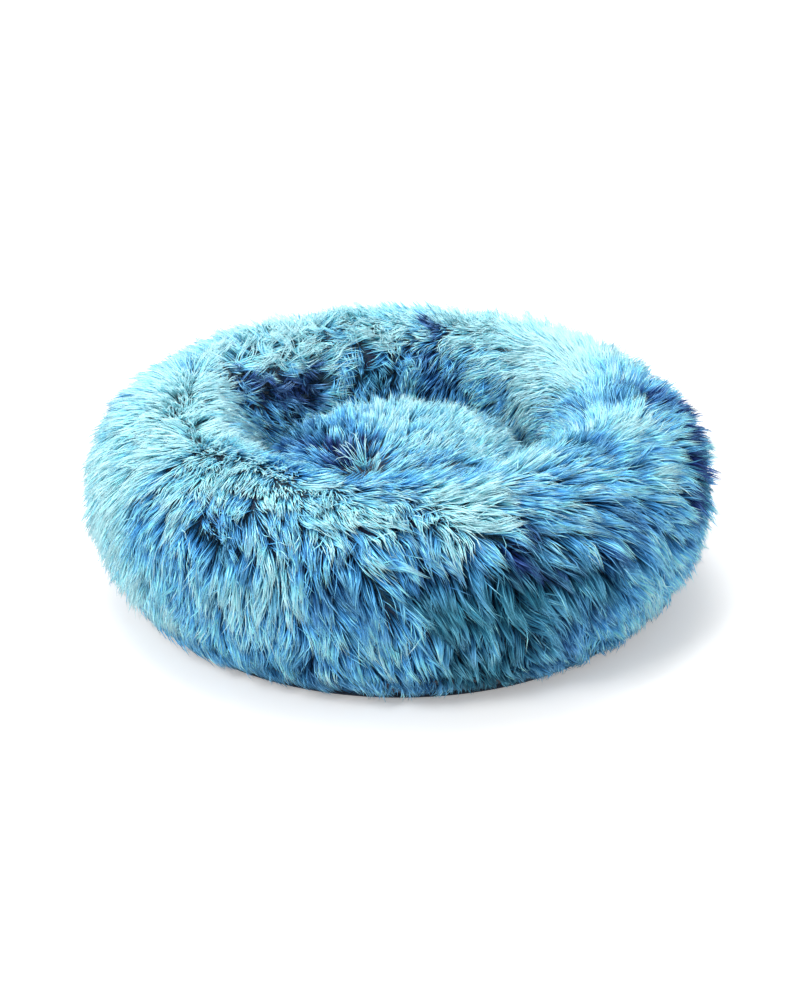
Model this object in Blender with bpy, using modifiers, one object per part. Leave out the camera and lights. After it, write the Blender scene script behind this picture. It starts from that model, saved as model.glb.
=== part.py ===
"""Round faux-fur pet bed with a raised bolster, a loose centre cushion and a zipped washable cover.

The bed stands on the floor at z = 0 with its centre on the Z axis. Its front faces -Y, its zip the back.
Run it with blender --background --python part.py, or from Blender's text editor. All sizes are in metres.
"""

import math

import bmesh
import bpy
from mathutils import Matrix, Vector

# The bolster's section, measured to the outside of the pile
BED_RADIUS = 0.300
BOLSTER_HEIGHT = 0.206
CREST_RADIUS = 0.202
WELL_RADIUS = 0.130
BULGE_HEIGHT = 0.112
LOWER_SWELL = 0.121

# Heights of the seams on the outer side
BORDER_TOP = 0.012
FUR_HEM = 0.030

# Creases where the bolster's fur panels are sewn together, from the +X axis towards +Y
CREASE_ANGLES_DEG = (20.0, 50.0, 81.0, 122.0, 163.0, 208.0, 255.0, 288.0, 335.0)
CREASE_DEPTH = 0.014
CREASE_HALF_WIDTH = 0.020
WELL_CREASE_SHARE = 0.55

# Thicknesses of the layers, from the pile inwards
FUR_THICKNESS = 0.018
LINER_THICKNESS = 0.0012
CLOTH_THICKNESS = 0.0015
BASE_THICKNESS = 0.003
WELL_FLOOR_THICKNESS = 0.002
BAND_DEPTH = 0.0115
FILLING_SLIT = 0.030
SEAM_ALLOWANCE = 0.002

# Gaps between neighbours
SEAM_GAP = 0.0003
CUSHION_CLEARANCE = 0.0015
RUNNING_GAP = 0.0004

# How far a cutter runs past what it cuts, and how near two corners are welded
CUT_OVERRUN = 0.001
WELD_DISTANCE = 0.00003

# Centre cushion
CUSHION_CROWN = 0.168
CUSHION_SEAM_HEIGHT = 0.060
CUSHION_SHOULDER = 0.112
CUSHION_FUR_THICKNESS = 0.016
CUSHION_FOOT_INSET = 0.030
DOME_EXPONENT = 2.5
FOOT_EXPONENT = 2.6

# Zip, at the back of the bed
ZIP_MIDDLE_DEG = 90.0
ZIP_SPAN_DEG = 104.0
COIL_WIDTH = 0.0022
COIL_THICKNESS = 0.0024
CHAIN_SLOT = 0.0016
TAPE_THICKNESS = 0.0008
STOP_LENGTH = 0.003

# Zip slider
SLIDER_LENGTH = 0.0115
SLIDER_REAR_WIDTH = 0.0088
SLIDER_FRONT_WIDTH = 0.0104
SHOULDER_SHARE = 1 / 3
PLATE_THICKNESS = 0.0011
SLIDER_EDGE_RADIUS = 0.0012
POST_WIDTH = 0.0008
POST_LENGTH = 0.0030
BAIL_LENGTH = 0.0064
BAIL_WIDTH = 0.0022
BAIL_THICKNESS = 0.0009

# Zip pull
PIN_DIAMETER = 0.0010
PULL_WIDTH = 0.0066
PULL_ARM_WIDTH = 0.0010
PULL_ARM_REACH = 0.0060
PULL_TAB_LENGTH = 0.0150
PULL_THICKNESS = 0.0012
PULL_HOLE_DIAMETER = 0.0030
PULL_END_ROUNDING = 0.0020

# How finely round shapes are divided
STATION_STEP_DEG = 8.0
OUTER_STEPS = 9
INNER_STEPS = 7
LOWER_STEPS = 2
WALL_STEPS = 3
TURNING_STEPS = 44
DOME_STEPS = 8
FOOT_STEPS = 5
ZIP_STATIONS = 26
LEAST_STATION_SHARE = 0.25
ROUND_STEPS = 10
HOLE_STEPS = 20

# Colours of the finishes: red, green, blue, roughness, metallic
FUR = (0.20, 0.50, 0.68, 0.85, 0.0)
BACKING = (0.05, 0.14, 0.24, 0.95, 0.0)
LINER = (0.80, 0.81, 0.80, 0.95, 0.0)
FIBRE = (0.92, 0.92, 0.90, 1.0, 0.0)
BASE_CLOTH = (0.045, 0.065, 0.10, 0.75, 0.0)
TAPE = (0.04, 0.10, 0.17, 0.85, 0.0)
NYLON = (0.03, 0.08, 0.14, 0.45, 0.0)
METAL = (0.58, 0.60, 0.62, 0.30, 1.0)


# Scene and mesh helpers


def clear_scene():
    for old in list(bpy.data.objects):
        bpy.data.objects.remove(old)


def collection(name):
    made = bpy.data.collections.new(name)
    bpy.context.scene.collection.children.link(made)
    return made


def finish_of(name, look):
    red, green, blue, roughness, metallic = look
    material = bpy.data.materials.new(name)
    material.use_nodes = True
    shader = material.node_tree.nodes["Principled BSDF"]
    shader.inputs["Base Color"].default_value = (red, green, blue, 1.0)
    shader.inputs["Roughness"].default_value = roughness
    shader.inputs["Metallic"].default_value = metallic
    material.diffuse_color = (red, green, blue, 1.0)
    return material


def new_part(name, bm, look, smooth_below_deg=40.0):
    """Makes the named sub-part from a bmesh, with its faces pointing out and its own material."""
    bmesh.ops.recalc_face_normals(bm, faces=bm.faces)
    mesh = bpy.data.meshes.new(name)
    bm.to_mesh(mesh)
    bm.free()
    mesh.shade_smooth()
    mesh.set_sharp_from_angle(angle=math.radians(smooth_below_deg))
    part = bpy.data.objects.new(name, mesh)
    mesh.materials.append(finish_of(name, look))
    PARTS.objects.link(part)
    return part


def plumpness(first, second):
    """How far the middle of an edge between two corners lies from the circle at the bolster's core."""
    middle = (first.co + second.co) / 2
    return math.hypot(math.hypot(middle.x, middle.y) - CREST_RADIUS, middle.z - BULGE_HEIGHT)


def lofted(name, sections, closed, look):
    """Joins the sections, which are closed loops of points, in order. An open loft gets a cap at each end.

    Each four-sided patch is split along its plumper diagonal, so that layers of one shape stay apart.
    """
    bm = bmesh.new()
    rings = [[bm.verts.new(point) for point in section] for section in sections]
    following = rings[1:] + rings[:1] if closed else rings[1:]
    for ring, after in zip(rings, following):
        for i in range(len(ring)):
            j = (i + 1) % len(ring)
            a, b, c, d = ring[i], ring[j], after[j], after[i]
            if plumpness(a, c) >= plumpness(b, d):
                halves = (a, b, c), (a, c, d)
            else:
                halves = (a, b, d), (b, c, d)
            for half in halves:
                bm.faces.new(half)
    if not closed:
        bm.faces.new(rings[0])
        bm.faces.new(rings[-1])
    return new_part(name, bm, look)


def down_its_outer_side(profile):
    """The same closed profile, turned round if need be, so that it runs down its outer side."""
    following = profile[1:] + profile[:1]
    twice_area = sum(r * after_z - after_r * z for (r, z), (after_r, after_z) in zip(profile, following))
    return profile[::-1] if twice_area > 0 else profile


def turned(name, profile, look):
    """Turns a closed profile of (radius, height) points about the Z axis with a Screw modifier."""
    bm = bmesh.new()
    corners = [bm.verts.new((radius, 0.0, height)) for radius, height in down_its_outer_side(profile)]
    for i, corner in enumerate(corners):
        after = corners[(i + 1) % len(corners)]
        if corner.co.x > 0 or after.co.x > 0:
            bm.edges.new((corner, after))
    mesh = bpy.data.meshes.new(name)
    bm.to_mesh(mesh)
    bm.free()
    part = bpy.data.objects.new(name, mesh)
    mesh.materials.append(finish_of(name, look))
    PARTS.objects.link(part)
    screw = part.modifiers.new("turn", "SCREW")
    screw.axis = "Z"
    screw.steps = TURNING_STEPS
    screw.render_steps = TURNING_STEPS
    screw.use_merge_vertices = True
    screw.merge_threshold = WELD_DISTANCE
    screw.use_smooth_shade = True
    return part


def slab(outline, low, high):
    """A bmesh prism: a flat outline of (x, y) points between two levels of z."""
    bm = bmesh.new()
    floor = bm.faces.new([bm.verts.new((x, y, low)) for x, y in outline])
    raised = bmesh.ops.extrude_face_region(bm, geom=[floor])["geom"]
    top = [item for item in raised if isinstance(item, bmesh.types.BMVert)]
    bmesh.ops.translate(bm, verts=top, vec=(0.0, 0.0, high - low))
    return bm


def helper(name, bm):
    """An object for a Boolean, which the render and the build leave out."""
    bmesh.ops.recalc_face_normals(bm, faces=bm.faces)
    mesh = bpy.data.meshes.new(name)
    bm.to_mesh(mesh)
    bm.free()
    made = bpy.data.objects.new(name, mesh)
    made.hide_render = True
    made.display_type = "WIRE"
    CUTTERS.objects.link(made)
    return made


def boolean(part, other, operation):
    other.matrix_world = part.matrix_world.copy()
    step = part.modifiers.new(other.name, "BOOLEAN")
    step.operation = operation
    step.object = other
    step.solver = "EXACT"


# Places on the bolster


def smooth_step(low, high, value):
    share = min(1.0, max(0.0, (value - low) / (high - low)))
    return share * share * (3.0 - 2.0 * share)


def crease(theta, alpha):
    """How much deeper than the plump bolster the surface lies, near the seams between the fur panels."""
    depth = 0.0
    for angle in CREASE_ANGLES_DEG:
        apart = math.remainder(theta - math.radians(angle), math.tau) * CREST_RADIUS
        depth += CREASE_DEPTH * math.exp(-((apart / CREASE_HALF_WIDTH) ** 2))
    over_the_top = smooth_step(0.0, math.pi / 2, alpha)
    down_the_well = smooth_step(math.pi / 2, math.pi, alpha)
    return depth * over_the_top * (1.0 + (WELL_CREASE_SHARE - 1.0) * down_the_well)


def section_point(alpha, depth):
    """(radius, height) on the bolster's section.

    Alpha is 0 at the widest, 90 degrees at the crest and 180 degrees at the well.
    """
    if alpha < 0:
        outside = CREST_RADIUS + (BED_RADIUS - CREST_RADIUS) * math.cos(alpha)
        return outside - depth, BULGE_HEIGHT + LOWER_SWELL * math.sin(alpha)
    reach = (BED_RADIUS - CREST_RADIUS if math.cos(alpha) > 0 else CREST_RADIUS - WELL_RADIUS) - depth
    rise = BOLSTER_HEIGHT - BULGE_HEIGHT - depth
    return CREST_RADIUS + reach * math.cos(alpha), BULGE_HEIGHT + rise * math.sin(alpha)


def alpha_at(height):
    """The alpha on the lower outer side at that height."""
    return -math.asin((BULGE_HEIGHT - height) / LOWER_SWELL)


def stepped(start, end, steps):
    return [start + (end - start) * i / steps for i in range(steps + 1)]


def ring_profile(theta, depth, alphas, wall_foot):
    """Section points at this depth, through the alphas to the well and down its wall to wall_foot."""
    points = [section_point(alpha, depth + crease(theta, alpha)) for alpha in alphas]
    radius, top = points[-1]
    return points + [(radius, height) for height in stepped(top, wall_foot, WALL_STEPS)[1:]]


def placed(theta, points):
    return [Vector((r * math.cos(theta), r * math.sin(theta), z)) for r, z in points]


BASE_TOP = BASE_THICKNESS + SEAM_GAP
HEM_ALPHA = alpha_at(FUR_HEM)
LINER_DEPTH = FUR_THICKNESS + SEAM_GAP
FILL_DEPTH = LINER_DEPTH + LINER_THICKNESS + SEAM_GAP
FUR_ALPHAS = stepped(HEM_ALPHA, math.pi / 2, OUTER_STEPS) + stepped(math.pi / 2, math.pi, INNER_STEPS)[1:]
CREASES = [math.radians(angle) for angle in CREASE_ANGLES_DEG]


def inner_alphas(foot):
    """Alphas of an inner layer, which reaches down to the base: every second one of the fur's."""
    return [foot] + FUR_ALPHAS[:-1:2] + [FUR_ALPHAS[-1]]


def panel_stations():
    """For each fur panel, the angles of its sections. The first and last lie on its two seams."""
    found = []
    for i, start in enumerate(CREASES):
        end = CREASES[(i + 1) % len(CREASES)]
        end += math.tau if end < start else 0.0
        steps = math.ceil(math.degrees(end - start) / STATION_STEP_DEG)
        found.append(stepped(start, end, steps))
    return found


# Bolster


def make_fur_panels():
    """The pile and its knitted backing, in panels sewn together at the creases and open underneath."""
    half_gap = SEAM_GAP / 2 / WELL_RADIUS
    hem_gap = SEAM_GAP / (BED_RADIUS - CREST_RADIUS)
    alphas = [HEM_ALPHA + hem_gap] + FUR_ALPHAS[1:]
    for number, stations in enumerate(panel_stations(), start=1):
        stations = [stations[0] + half_gap] + stations[1:-1] + [stations[-1] - half_gap]
        sections = []
        for theta in stations:
            outside = ring_profile(theta, 0.0, alphas, BASE_TOP)
            inside = ring_profile(theta, FUR_THICKNESS, alphas, BASE_TOP)
            sections.append(placed(theta, outside + inside[::-1]))
        lofted(f"bolster_fur_panel_{number}", sections, False, FUR)


def make_bolster_liner():
    """The closed inner bag round the fibre, with the slit underneath through which it is filled."""
    sections = []
    floor, lining = BASE_TOP, BASE_TOP + LINER_THICKNESS
    slit_out, slit_in = CREST_RADIUS, CREST_RADIUS - FILLING_SLIT
    for stations in panel_stations():
        for theta in stations[:-1]:
            outside = ring_profile(theta, LINER_DEPTH, inner_alphas(alpha_at(floor)), floor)
            within = LINER_DEPTH + LINER_THICKNESS
            inside = ring_profile(theta, within, inner_alphas(alpha_at(lining)), lining)
            loop = [(slit_out, floor)] + outside + [(slit_in, floor), (slit_in, lining)]
            loop += inside[::-1] + [(slit_out, lining)]
            sections.append(placed(theta, loop))
    lofted("bolster_liner", sections, True, LINER)


def make_bolster_fill():
    """The ring of polyester fibre that the liner holds."""
    sections = []
    foot = BASE_TOP + LINER_THICKNESS + SEAM_GAP
    for stations in panel_stations():
        for theta in stations[:-1]:
            profile = ring_profile(theta, FILL_DEPTH, inner_alphas(alpha_at(foot)), foot)
            sections.append(placed(theta, profile))
    lofted("bolster_fill", sections, True, FIBRE)


# Base of the cover


def cloth_profile(low, high):
    """The closed section of a strip of cloth that follows the bolster's side between two heights."""
    alphas = stepped(alpha_at(low), alpha_at(high), LOWER_STEPS)
    outside = [section_point(alpha, BAND_DEPTH - CLOTH_THICKNESS / 2) for alpha in alphas]
    inside = [section_point(alpha, BAND_DEPTH + CLOTH_THICKNESS / 2) for alpha in alphas]
    return outside + inside[::-1]


def disc_profile(radius, low, high):
    return [(0.0, high), (radius, high), (radius, low), (0.0, low)]


def make_base():
    """The sturdy underside, its upturned border and the floor of the well, all of coated cloth."""
    border = cloth_profile(BASE_TOP, BORDER_TOP)
    foot_radius = border[0][0] + SEAM_ALLOWANCE
    turned("base_cloth", disc_profile(foot_radius, 0.0, BASE_THICKNESS), BASE_CLOTH)
    angles = zip_angles() + facing_angles()
    lofted("base_border", [placed(theta, border) for theta in angles], True, BASE_CLOTH)
    edge = WELL_RADIUS - CUSHION_CLEARANCE
    turned("well_floor", disc_profile(edge, BASE_TOP, BASE_TOP + WELL_FLOOR_THICKNESS), BACKING)


# Centre cushion


def dome(depth, above_seam=0.0):
    """(radius, height) points of the cushion's upper skin at this depth, from its seam up to the crown."""
    radius = WELL_RADIUS - CUSHION_CLEARANCE - depth
    rise = CUSHION_CROWN - CUSHION_SHOULDER - depth
    points = [(radius, CUSHION_SEAM_HEIGHT + above_seam), (radius, CUSHION_SHOULDER)]
    for i in range(1, DOME_STEPS + 1):
        turn = math.pi / 2 * i / DOME_STEPS
        across = max(0.0, math.cos(turn)) ** (2.0 / DOME_EXPONENT)
        up = math.sin(turn) ** (2.0 / DOME_EXPONENT)
        points.append((radius * across if i < DOME_STEPS else 0.0, CUSHION_SHOULDER + rise * up))
    return points


def dish(depth, bottom):
    """Points of the cushion's lower skin at this depth, from the seam down to the flat foot at bottom."""
    radius = WELL_RADIUS - CUSHION_CLEARANCE - depth
    drop = CUSHION_SEAM_HEIGHT - bottom
    inset = CUSHION_FOOT_INSET - depth
    points = []
    for i in range(FOOT_STEPS + 1):
        turn = math.pi / 2 * i / FOOT_STEPS
        across = max(0.0, math.cos(turn)) ** (2.0 / FOOT_EXPONENT)
        down = math.sin(turn) ** (2.0 / FOOT_EXPONENT)
        points.append((radius - inset * (1.0 - across), CUSHION_SEAM_HEIGHT - drop * down))
    return points + [(0.0, bottom)]


def make_cushion():
    """A fur top and a cloth underside, sewn at the seam, round a pillow of fibre."""
    foot = BASE_TOP + WELL_FLOOR_THICKNESS + SEAM_GAP
    fur_outside = dome(0.0, above_seam=SEAM_GAP)
    fur_inside = dome(CUSHION_FUR_THICKNESS, above_seam=SEAM_GAP)
    turned("cushion_fur_top", fur_outside[::-1] + fur_inside, FUR)
    outside = dish(0.0, foot)
    inside = dish(CLOTH_THICKNESS, foot + CLOTH_THICKNESS)
    turned("cushion_underside", outside + inside[::-1], BASE_CLOTH)
    fill_top = dome(CUSHION_FUR_THICKNESS + SEAM_GAP)
    fill_foot = dish(CLOTH_THICKNESS + SEAM_GAP, foot + CLOTH_THICKNESS + SEAM_GAP)
    turned("cushion_fill", fill_top[::-1] + fill_foot, FIBRE)


# Zip


def band_edges():
    """The lower and the upper edge of the band that the zip closes, as (radius, height)."""
    low = section_point(alpha_at(BORDER_TOP), BAND_DEPTH)
    return Vector(low), Vector(section_point(HEM_ALPHA, BAND_DEPTH))


def band_frame(theta):
    """Where the zip runs at this angle: x along its travel, y up the cover's slope, z out of the cloth."""
    low, high = band_edges()
    middle = (low + high) / 2
    slope = (high - low).normalized()
    out = Vector((math.cos(theta), math.sin(theta), 0.0))
    along = Vector((-math.sin(theta), math.cos(theta), 0.0))
    up = out * slope.x + Vector((0.0, 0.0, slope.y))
    normal = along.cross(up)
    frame = Matrix((along, up, normal)).transposed().to_4x4()
    frame.translation = out * middle.x + Vector((0.0, 0.0, middle.y))
    return frame


def band_width():
    low, high = band_edges()
    return (high - low).length


def zip_angles():
    return stepped(ZIP_START, ZIP_END, ZIP_STATIONS)


def facing_angles():
    """Angles of the facing's sections: both its ends and the fur's stations between them."""
    start, end = ZIP_END + GAP_ANGLE, ZIP_START + math.tau - GAP_ANGLE
    once = [theta for panel in panel_stations() for theta in panel[:-1]]
    stations = once + [theta + math.tau for theta in once]
    least = math.radians(STATION_STEP_DEG) * LEAST_STATION_SHARE
    return [start] + sorted(theta for theta in stations if start + least < theta < end - least) + [end]


def strip_along_band(name, corners, angles, look):
    """A strip of constant section along the band. Its corners are (y, z) in the band's own frame."""
    sections = []
    for theta in angles:
        frame = band_frame(theta)
        sections.append([frame @ Vector((0.0, y, z)) for y, z in corners])
    return lofted(name, sections, False, look)


def rectangle(low_y, high_y, thickness):
    half = thickness / 2
    return [(low_y, -half), (high_y, -half), (high_y, half), (low_y, half)]


def rounded_coil(low_y, high_y, thickness):
    """The section of one side's coil: an oval."""
    middle, half = (low_y + high_y) / 2, (high_y - low_y) / 2
    turns = [math.tau * i / ROUND_STEPS for i in range(ROUND_STEPS)]
    return [(middle + half * math.cos(turn), thickness / 2 * math.sin(turn)) for turn in turns]


ZIP_START = math.radians(ZIP_MIDDLE_DEG - ZIP_SPAN_DEG / 2)
ZIP_END = math.radians(ZIP_MIDDLE_DEG + ZIP_SPAN_DEG / 2)
BAND_RADIUS = sum(edge.x for edge in band_edges()) / 2
STOP_ANGLE = STOP_LENGTH / BAND_RADIUS
GAP_ANGLE = SEAM_GAP / BAND_RADIUS
COIL_START = ZIP_START + STOP_ANGLE + GAP_ANGLE
COIL_END = ZIP_END - STOP_ANGLE - GAP_ANGLE
SLIDER_ANGLE = COIL_START + (SLIDER_LENGTH / 2 + SEAM_GAP) / BAND_RADIUS
COIL_EDGE = CHAIN_SLOT / 2 + COIL_WIDTH
PLATE_LEVEL = COIL_THICKNESS / 2 + RUNNING_GAP
PLATE_TOP = PLATE_LEVEL + PLATE_THICKNESS
PIN_LEVEL = PLATE_TOP + RUNNING_GAP + PIN_DIAMETER / 2


def make_zip_rows():
    """Two tapes with a coil along each, and a stop at each end. The slider runs between the stops."""
    edge = (band_width() - TAPE_THICKNESS) / 2 - SEAM_GAP
    inner = COIL_EDGE + SEAM_GAP
    for name, side in (("upper", 1.0), ("lower", -1.0)):
        tape = rectangle(min(side * inner, side * edge), max(side * inner, side * edge), TAPE_THICKNESS)
        strip_along_band(f"zip_tape_{name}", tape, zip_angles(), TAPE)
        near, far = side * CHAIN_SLOT / 2, side * COIL_EDGE
        coil = rounded_coil(min(near, far), max(near, far), COIL_THICKNESS)
        strip_along_band(f"zip_coil_{name}", coil, stepped(COIL_START, COIL_END, ZIP_STATIONS), NYLON)
    stop = rectangle(-COIL_EDGE, COIL_EDGE, COIL_THICKNESS)
    strip_along_band("zip_stop_closed_end", stop, [ZIP_START, ZIP_START + STOP_ANGLE], METAL)
    strip_along_band("zip_stop_open_end", stop, [ZIP_END - STOP_ANGLE, ZIP_END], METAL)


def make_facing():
    """The cloth band that closes the cover where there is no zip, round the sides and the front."""
    strip = cloth_profile(BORDER_TOP + SEAM_GAP, FUR_HEM - SEAM_GAP)
    lofted("front_facing", [placed(theta, strip) for theta in facing_angles()], False, BASE_CLOTH)


def shield(length, rear, front, rounding):
    """A slider plate's outline: narrow behind, with wider shoulders in front. X is its travel."""
    half = length / 2
    shoulder = half * SHOULDER_SHARE
    return [
        (-half + rounding, -rear / 2),
        (shoulder, -front / 2),
        (half - rounding, -front / 2),
        (half, -front / 2 + rounding),
        (half, front / 2 - rounding),
        (half - rounding, front / 2),
        (shoulder, front / 2),
        (-half + rounding, rear / 2),
        (-half, rear / 2 - rounding),
        (-half, -rear / 2 + rounding),
    ]


def flange(side):
    """The lip along one side of a slider plate, which keeps the coil in and lets the tape out."""
    half = SLIDER_LENGTH / 2
    inner = COIL_EDGE + RUNNING_GAP
    outer = SLIDER_REAR_WIDTH / 2
    return [(-half, side * inner), (half, side * inner), (half, side * outer), (-half, side * outer)]


def rectangle_xy(low_x, high_x, low_y, high_y):
    return [(low_x, low_y), (high_x, low_y), (high_x, high_y), (low_x, high_y)]


def bail():
    """The bridge on the slider that holds the pull's pin, as a flat arch seen from its side."""
    half = BAIL_LENGTH / 2
    arch_top = PIN_LEVEL + PIN_DIAMETER / 2 + RUNNING_GAP + BAIL_THICKNESS
    inside = half - BAIL_THICKNESS
    under = arch_top - BAIL_THICKNESS
    foot = PLATE_TOP - PLATE_THICKNESS / 2
    slope = BAIL_THICKNESS
    outline = [
        (-half, foot),
        (-inside, foot),
        (-inside, under - slope / 2),
        (-inside + slope / 2, under),
        (inside - slope / 2, under),
        (inside, under - slope / 2),
        (inside, foot),
        (half, foot),
        (half, arch_top - slope),
        (half - slope, arch_top),
        (-half + slope, arch_top),
        (-half, arch_top - slope),
    ]
    bm = slab(outline, -BAIL_WIDTH / 2, BAIL_WIDTH / 2)
    stand_up = Matrix.Rotation(math.pi / 2, 4, "X")
    bmesh.ops.transform(bm, matrix=stand_up, verts=bm.verts)
    return bm


def make_slider():
    """Two plates joined by a post, with flanges round the coils and a bail for the pull."""
    outline = shield(SLIDER_LENGTH, SLIDER_REAR_WIDTH, SLIDER_FRONT_WIDTH, SLIDER_EDGE_RADIUS)
    slider = new_part("zip_slider", slab(outline, PLATE_LEVEL, PLATE_TOP), METAL)
    slider.matrix_world = band_frame(SLIDER_ANGLE)
    boolean(slider, helper("slider_back_plate", slab(outline, -PLATE_TOP, -PLATE_LEVEL)), "UNION")
    nose = SLIDER_LENGTH / 2 - SLIDER_EDGE_RADIUS
    post = rectangle_xy(nose - POST_LENGTH, nose, -POST_WIDTH / 2, POST_WIDTH / 2)
    overlap = PLATE_THICKNESS / 2
    boolean(slider, helper("slider_post", slab(post, -PLATE_LEVEL - overlap, PLATE_LEVEL + overlap)), "UNION")
    slot = TAPE_THICKNESS / 2 + RUNNING_GAP
    for side, where in ((1.0, "upper"), (-1.0, "lower")):
        front, back = (slot, PLATE_LEVEL + overlap), (-PLATE_LEVEL - overlap, -slot)
        for (low, high), face in ((front, "front"), (back, "back")):
            lip = helper(f"slider_lip_{where}_{face}", slab(flange(side), low, high))
            boolean(slider, lip, "UNION")
    boolean(slider, helper("slider_bail", bail()), "UNION")


def make_pull():
    """The tab on the slider: a pin under the bail, two arms round it and a flat grip with a hole."""
    half = PULL_THICKNESS / 2
    arm_inner = PULL_WIDTH / 2 - PULL_ARM_WIDTH
    root = PULL_ARM_REACH
    end = root + PULL_TAB_LENGTH
    wide = PULL_WIDTH / 2
    rounding = PULL_END_ROUNDING
    outline = [
        (root, -wide),
        (end - rounding, -wide),
        (end, -wide + rounding),
        (end, wide - rounding),
        (end - rounding, wide),
        (root, wide),
    ]
    pull = new_part("zip_pull", slab(outline, -half, half), METAL)
    pull.matrix_world = band_frame(SLIDER_ANGLE) @ Matrix.Translation((0.0, 0.0, PIN_LEVEL))
    behind = PIN_DIAMETER / 2
    for side, where in ((1.0, "upper"), (-1.0, "lower")):
        low_y, high_y = sorted((side * arm_inner, side * wide))
        arm = slab(rectangle_xy(-behind, root + PULL_ARM_WIDTH, low_y, high_y), -behind, behind)
        boolean(pull, helper(f"pull_arm_{where}", arm), "UNION")
    pin = bmesh.new()
    bmesh.ops.create_cone(
        pin,
        cap_ends=True,
        segments=ROUND_STEPS,
        radius1=PIN_DIAMETER / 2,
        radius2=PIN_DIAMETER / 2,
        depth=2 * arm_inner + PULL_ARM_WIDTH,
        matrix=Matrix.Rotation(math.pi / 2, 4, "X"),
    )
    boolean(pull, helper("pull_pin", pin), "UNION")
    hole = bmesh.new()
    bmesh.ops.create_cone(
        hole,
        cap_ends=True,
        segments=HOLE_STEPS,
        radius1=PULL_HOLE_DIAMETER / 2,
        radius2=PULL_HOLE_DIAMETER / 2,
        depth=PULL_THICKNESS + 2 * CUT_OVERRUN,
        matrix=Matrix.Translation((end - wide, 0.0, 0.0)),
    )
    boolean(pull, helper("pull_hole", hole), "DIFFERENCE")


clear_scene()
PARTS = collection("pet_bed")
CUTTERS = collection("cutters")
CUTTERS.hide_render = True
make_fur_panels()
make_bolster_liner()
make_bolster_fill()
make_base()
make_cushion()
make_zip_rows()
make_facing()
make_slider()
make_pull()
bpy.context.view_layer.update()
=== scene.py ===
"""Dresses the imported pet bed: long dyed pile, its knitted ground, the cloth base, the stuffing and the zip.

The bed stands on the floor at z = 0, its front towards -Y and its zip at the back. All sizes are in metres.
"""

import math

import bmesh
import bpy
import numpy as np
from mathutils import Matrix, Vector
from mathutils.kdtree import KDTree


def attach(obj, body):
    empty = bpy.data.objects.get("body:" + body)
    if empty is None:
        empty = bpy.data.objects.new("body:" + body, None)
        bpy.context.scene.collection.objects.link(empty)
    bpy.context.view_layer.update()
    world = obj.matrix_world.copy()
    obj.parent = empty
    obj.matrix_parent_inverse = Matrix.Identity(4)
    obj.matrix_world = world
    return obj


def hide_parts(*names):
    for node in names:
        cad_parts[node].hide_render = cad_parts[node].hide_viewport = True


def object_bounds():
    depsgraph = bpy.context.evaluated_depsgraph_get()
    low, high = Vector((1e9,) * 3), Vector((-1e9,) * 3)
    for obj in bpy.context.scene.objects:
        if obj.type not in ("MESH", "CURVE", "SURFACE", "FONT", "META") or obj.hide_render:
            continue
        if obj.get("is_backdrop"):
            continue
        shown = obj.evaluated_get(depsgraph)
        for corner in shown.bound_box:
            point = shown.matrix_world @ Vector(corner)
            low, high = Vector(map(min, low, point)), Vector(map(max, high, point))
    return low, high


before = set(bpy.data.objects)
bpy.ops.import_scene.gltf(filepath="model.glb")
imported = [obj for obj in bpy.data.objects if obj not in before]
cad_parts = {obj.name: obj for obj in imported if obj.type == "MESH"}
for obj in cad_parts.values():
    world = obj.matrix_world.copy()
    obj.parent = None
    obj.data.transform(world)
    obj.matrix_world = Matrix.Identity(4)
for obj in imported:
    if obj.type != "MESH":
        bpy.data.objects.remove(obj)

bl_info = {
    "name": "Plush pet bed",
    "version": (1, 0, 0),
    "blender": (4, 5, 0),
    "location": "View3D > Sidebar > Pet bed",
    "description": "Dresses a round plush pet bed with pile, cloth, stuffing and a zip",
    "category": "Object",
}

CAD_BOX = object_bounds()

# The bolster's section, measured to the outside of the pile
BED_RADIUS = 0.300
BOLSTER_HEIGHT = 0.206
CREST_RADIUS = 0.202
WELL_RADIUS = 0.130
BULGE_HEIGHT = 0.112
LOWER_SWELL = 0.121
BORDER_TOP = 0.012
FUR_HEM = 0.030
BASE_TOP = 0.0033
# Creases between the fur panels: angle round the bed, and how much of the depth the pile leaves open
CREASES = ((20, 1.0), (50, 0.7), (81, 0.3), (122, 1.0), (163, 0.6), (208, 0.5), (255, 0.6), (288, 0.6), (335, 0.8))
BOLSTER_AREA = 0.60
CUSHION_AREA = 0.085
CREASE_DEPTH = 0.014
CREASE_HALF_WIDTH = 0.020
WELL_CREASE_SHARE = 0.55

# The centre cushion
CUSHION_RADIUS = 0.1285
CUSHION_CROWN = 0.168
CUSHION_SHOULDER = 0.112
CUSHION_SEAM_HEIGHT = 0.060
CUSHION_OVERHANG = 0.012
DOME_EXPONENT = 2.5
FOOT_EXPONENT = 2.6
CUSHION_FOOT_INSET = 0.030
CUSHION_FOOT = 0.0056
WELL_FLOOR_TOP = 0.0053
# How deep the pile is rooted below the surface, and how far its highest strands stand out beyond it
BOLSTER_ROOTS = 0.0190
CUSHION_ROOTS = 0.0165
PROUD = 0.0125
# The knitted ground's two faces, beside the depth of the roots
KNIT = (-0.0002, 0.0010)
# The stuffing under the ground: the depth and the lowest height of each face of the bag and of the fibre
BAG_FACES = ((0.0205, 0.0035), (0.0215, 0.0045))
FIBRE_DEPTH = 0.0245
FIBRE_FOOT = 0.0052
CUSHION_FIBRE_DEPTH = 0.0200
CUSHION_FIBRE_SUNK = 0.045
CUSHION_EDGE = 0.034
# Where random draws start
SEEDS = {"locks": 5, "cushion locks": 6, "hem locks": 7, "loose": 9}
SEEDS |= {"pile": 100, "wool": 200, "cushion": 300, "hem": 400}
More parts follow.
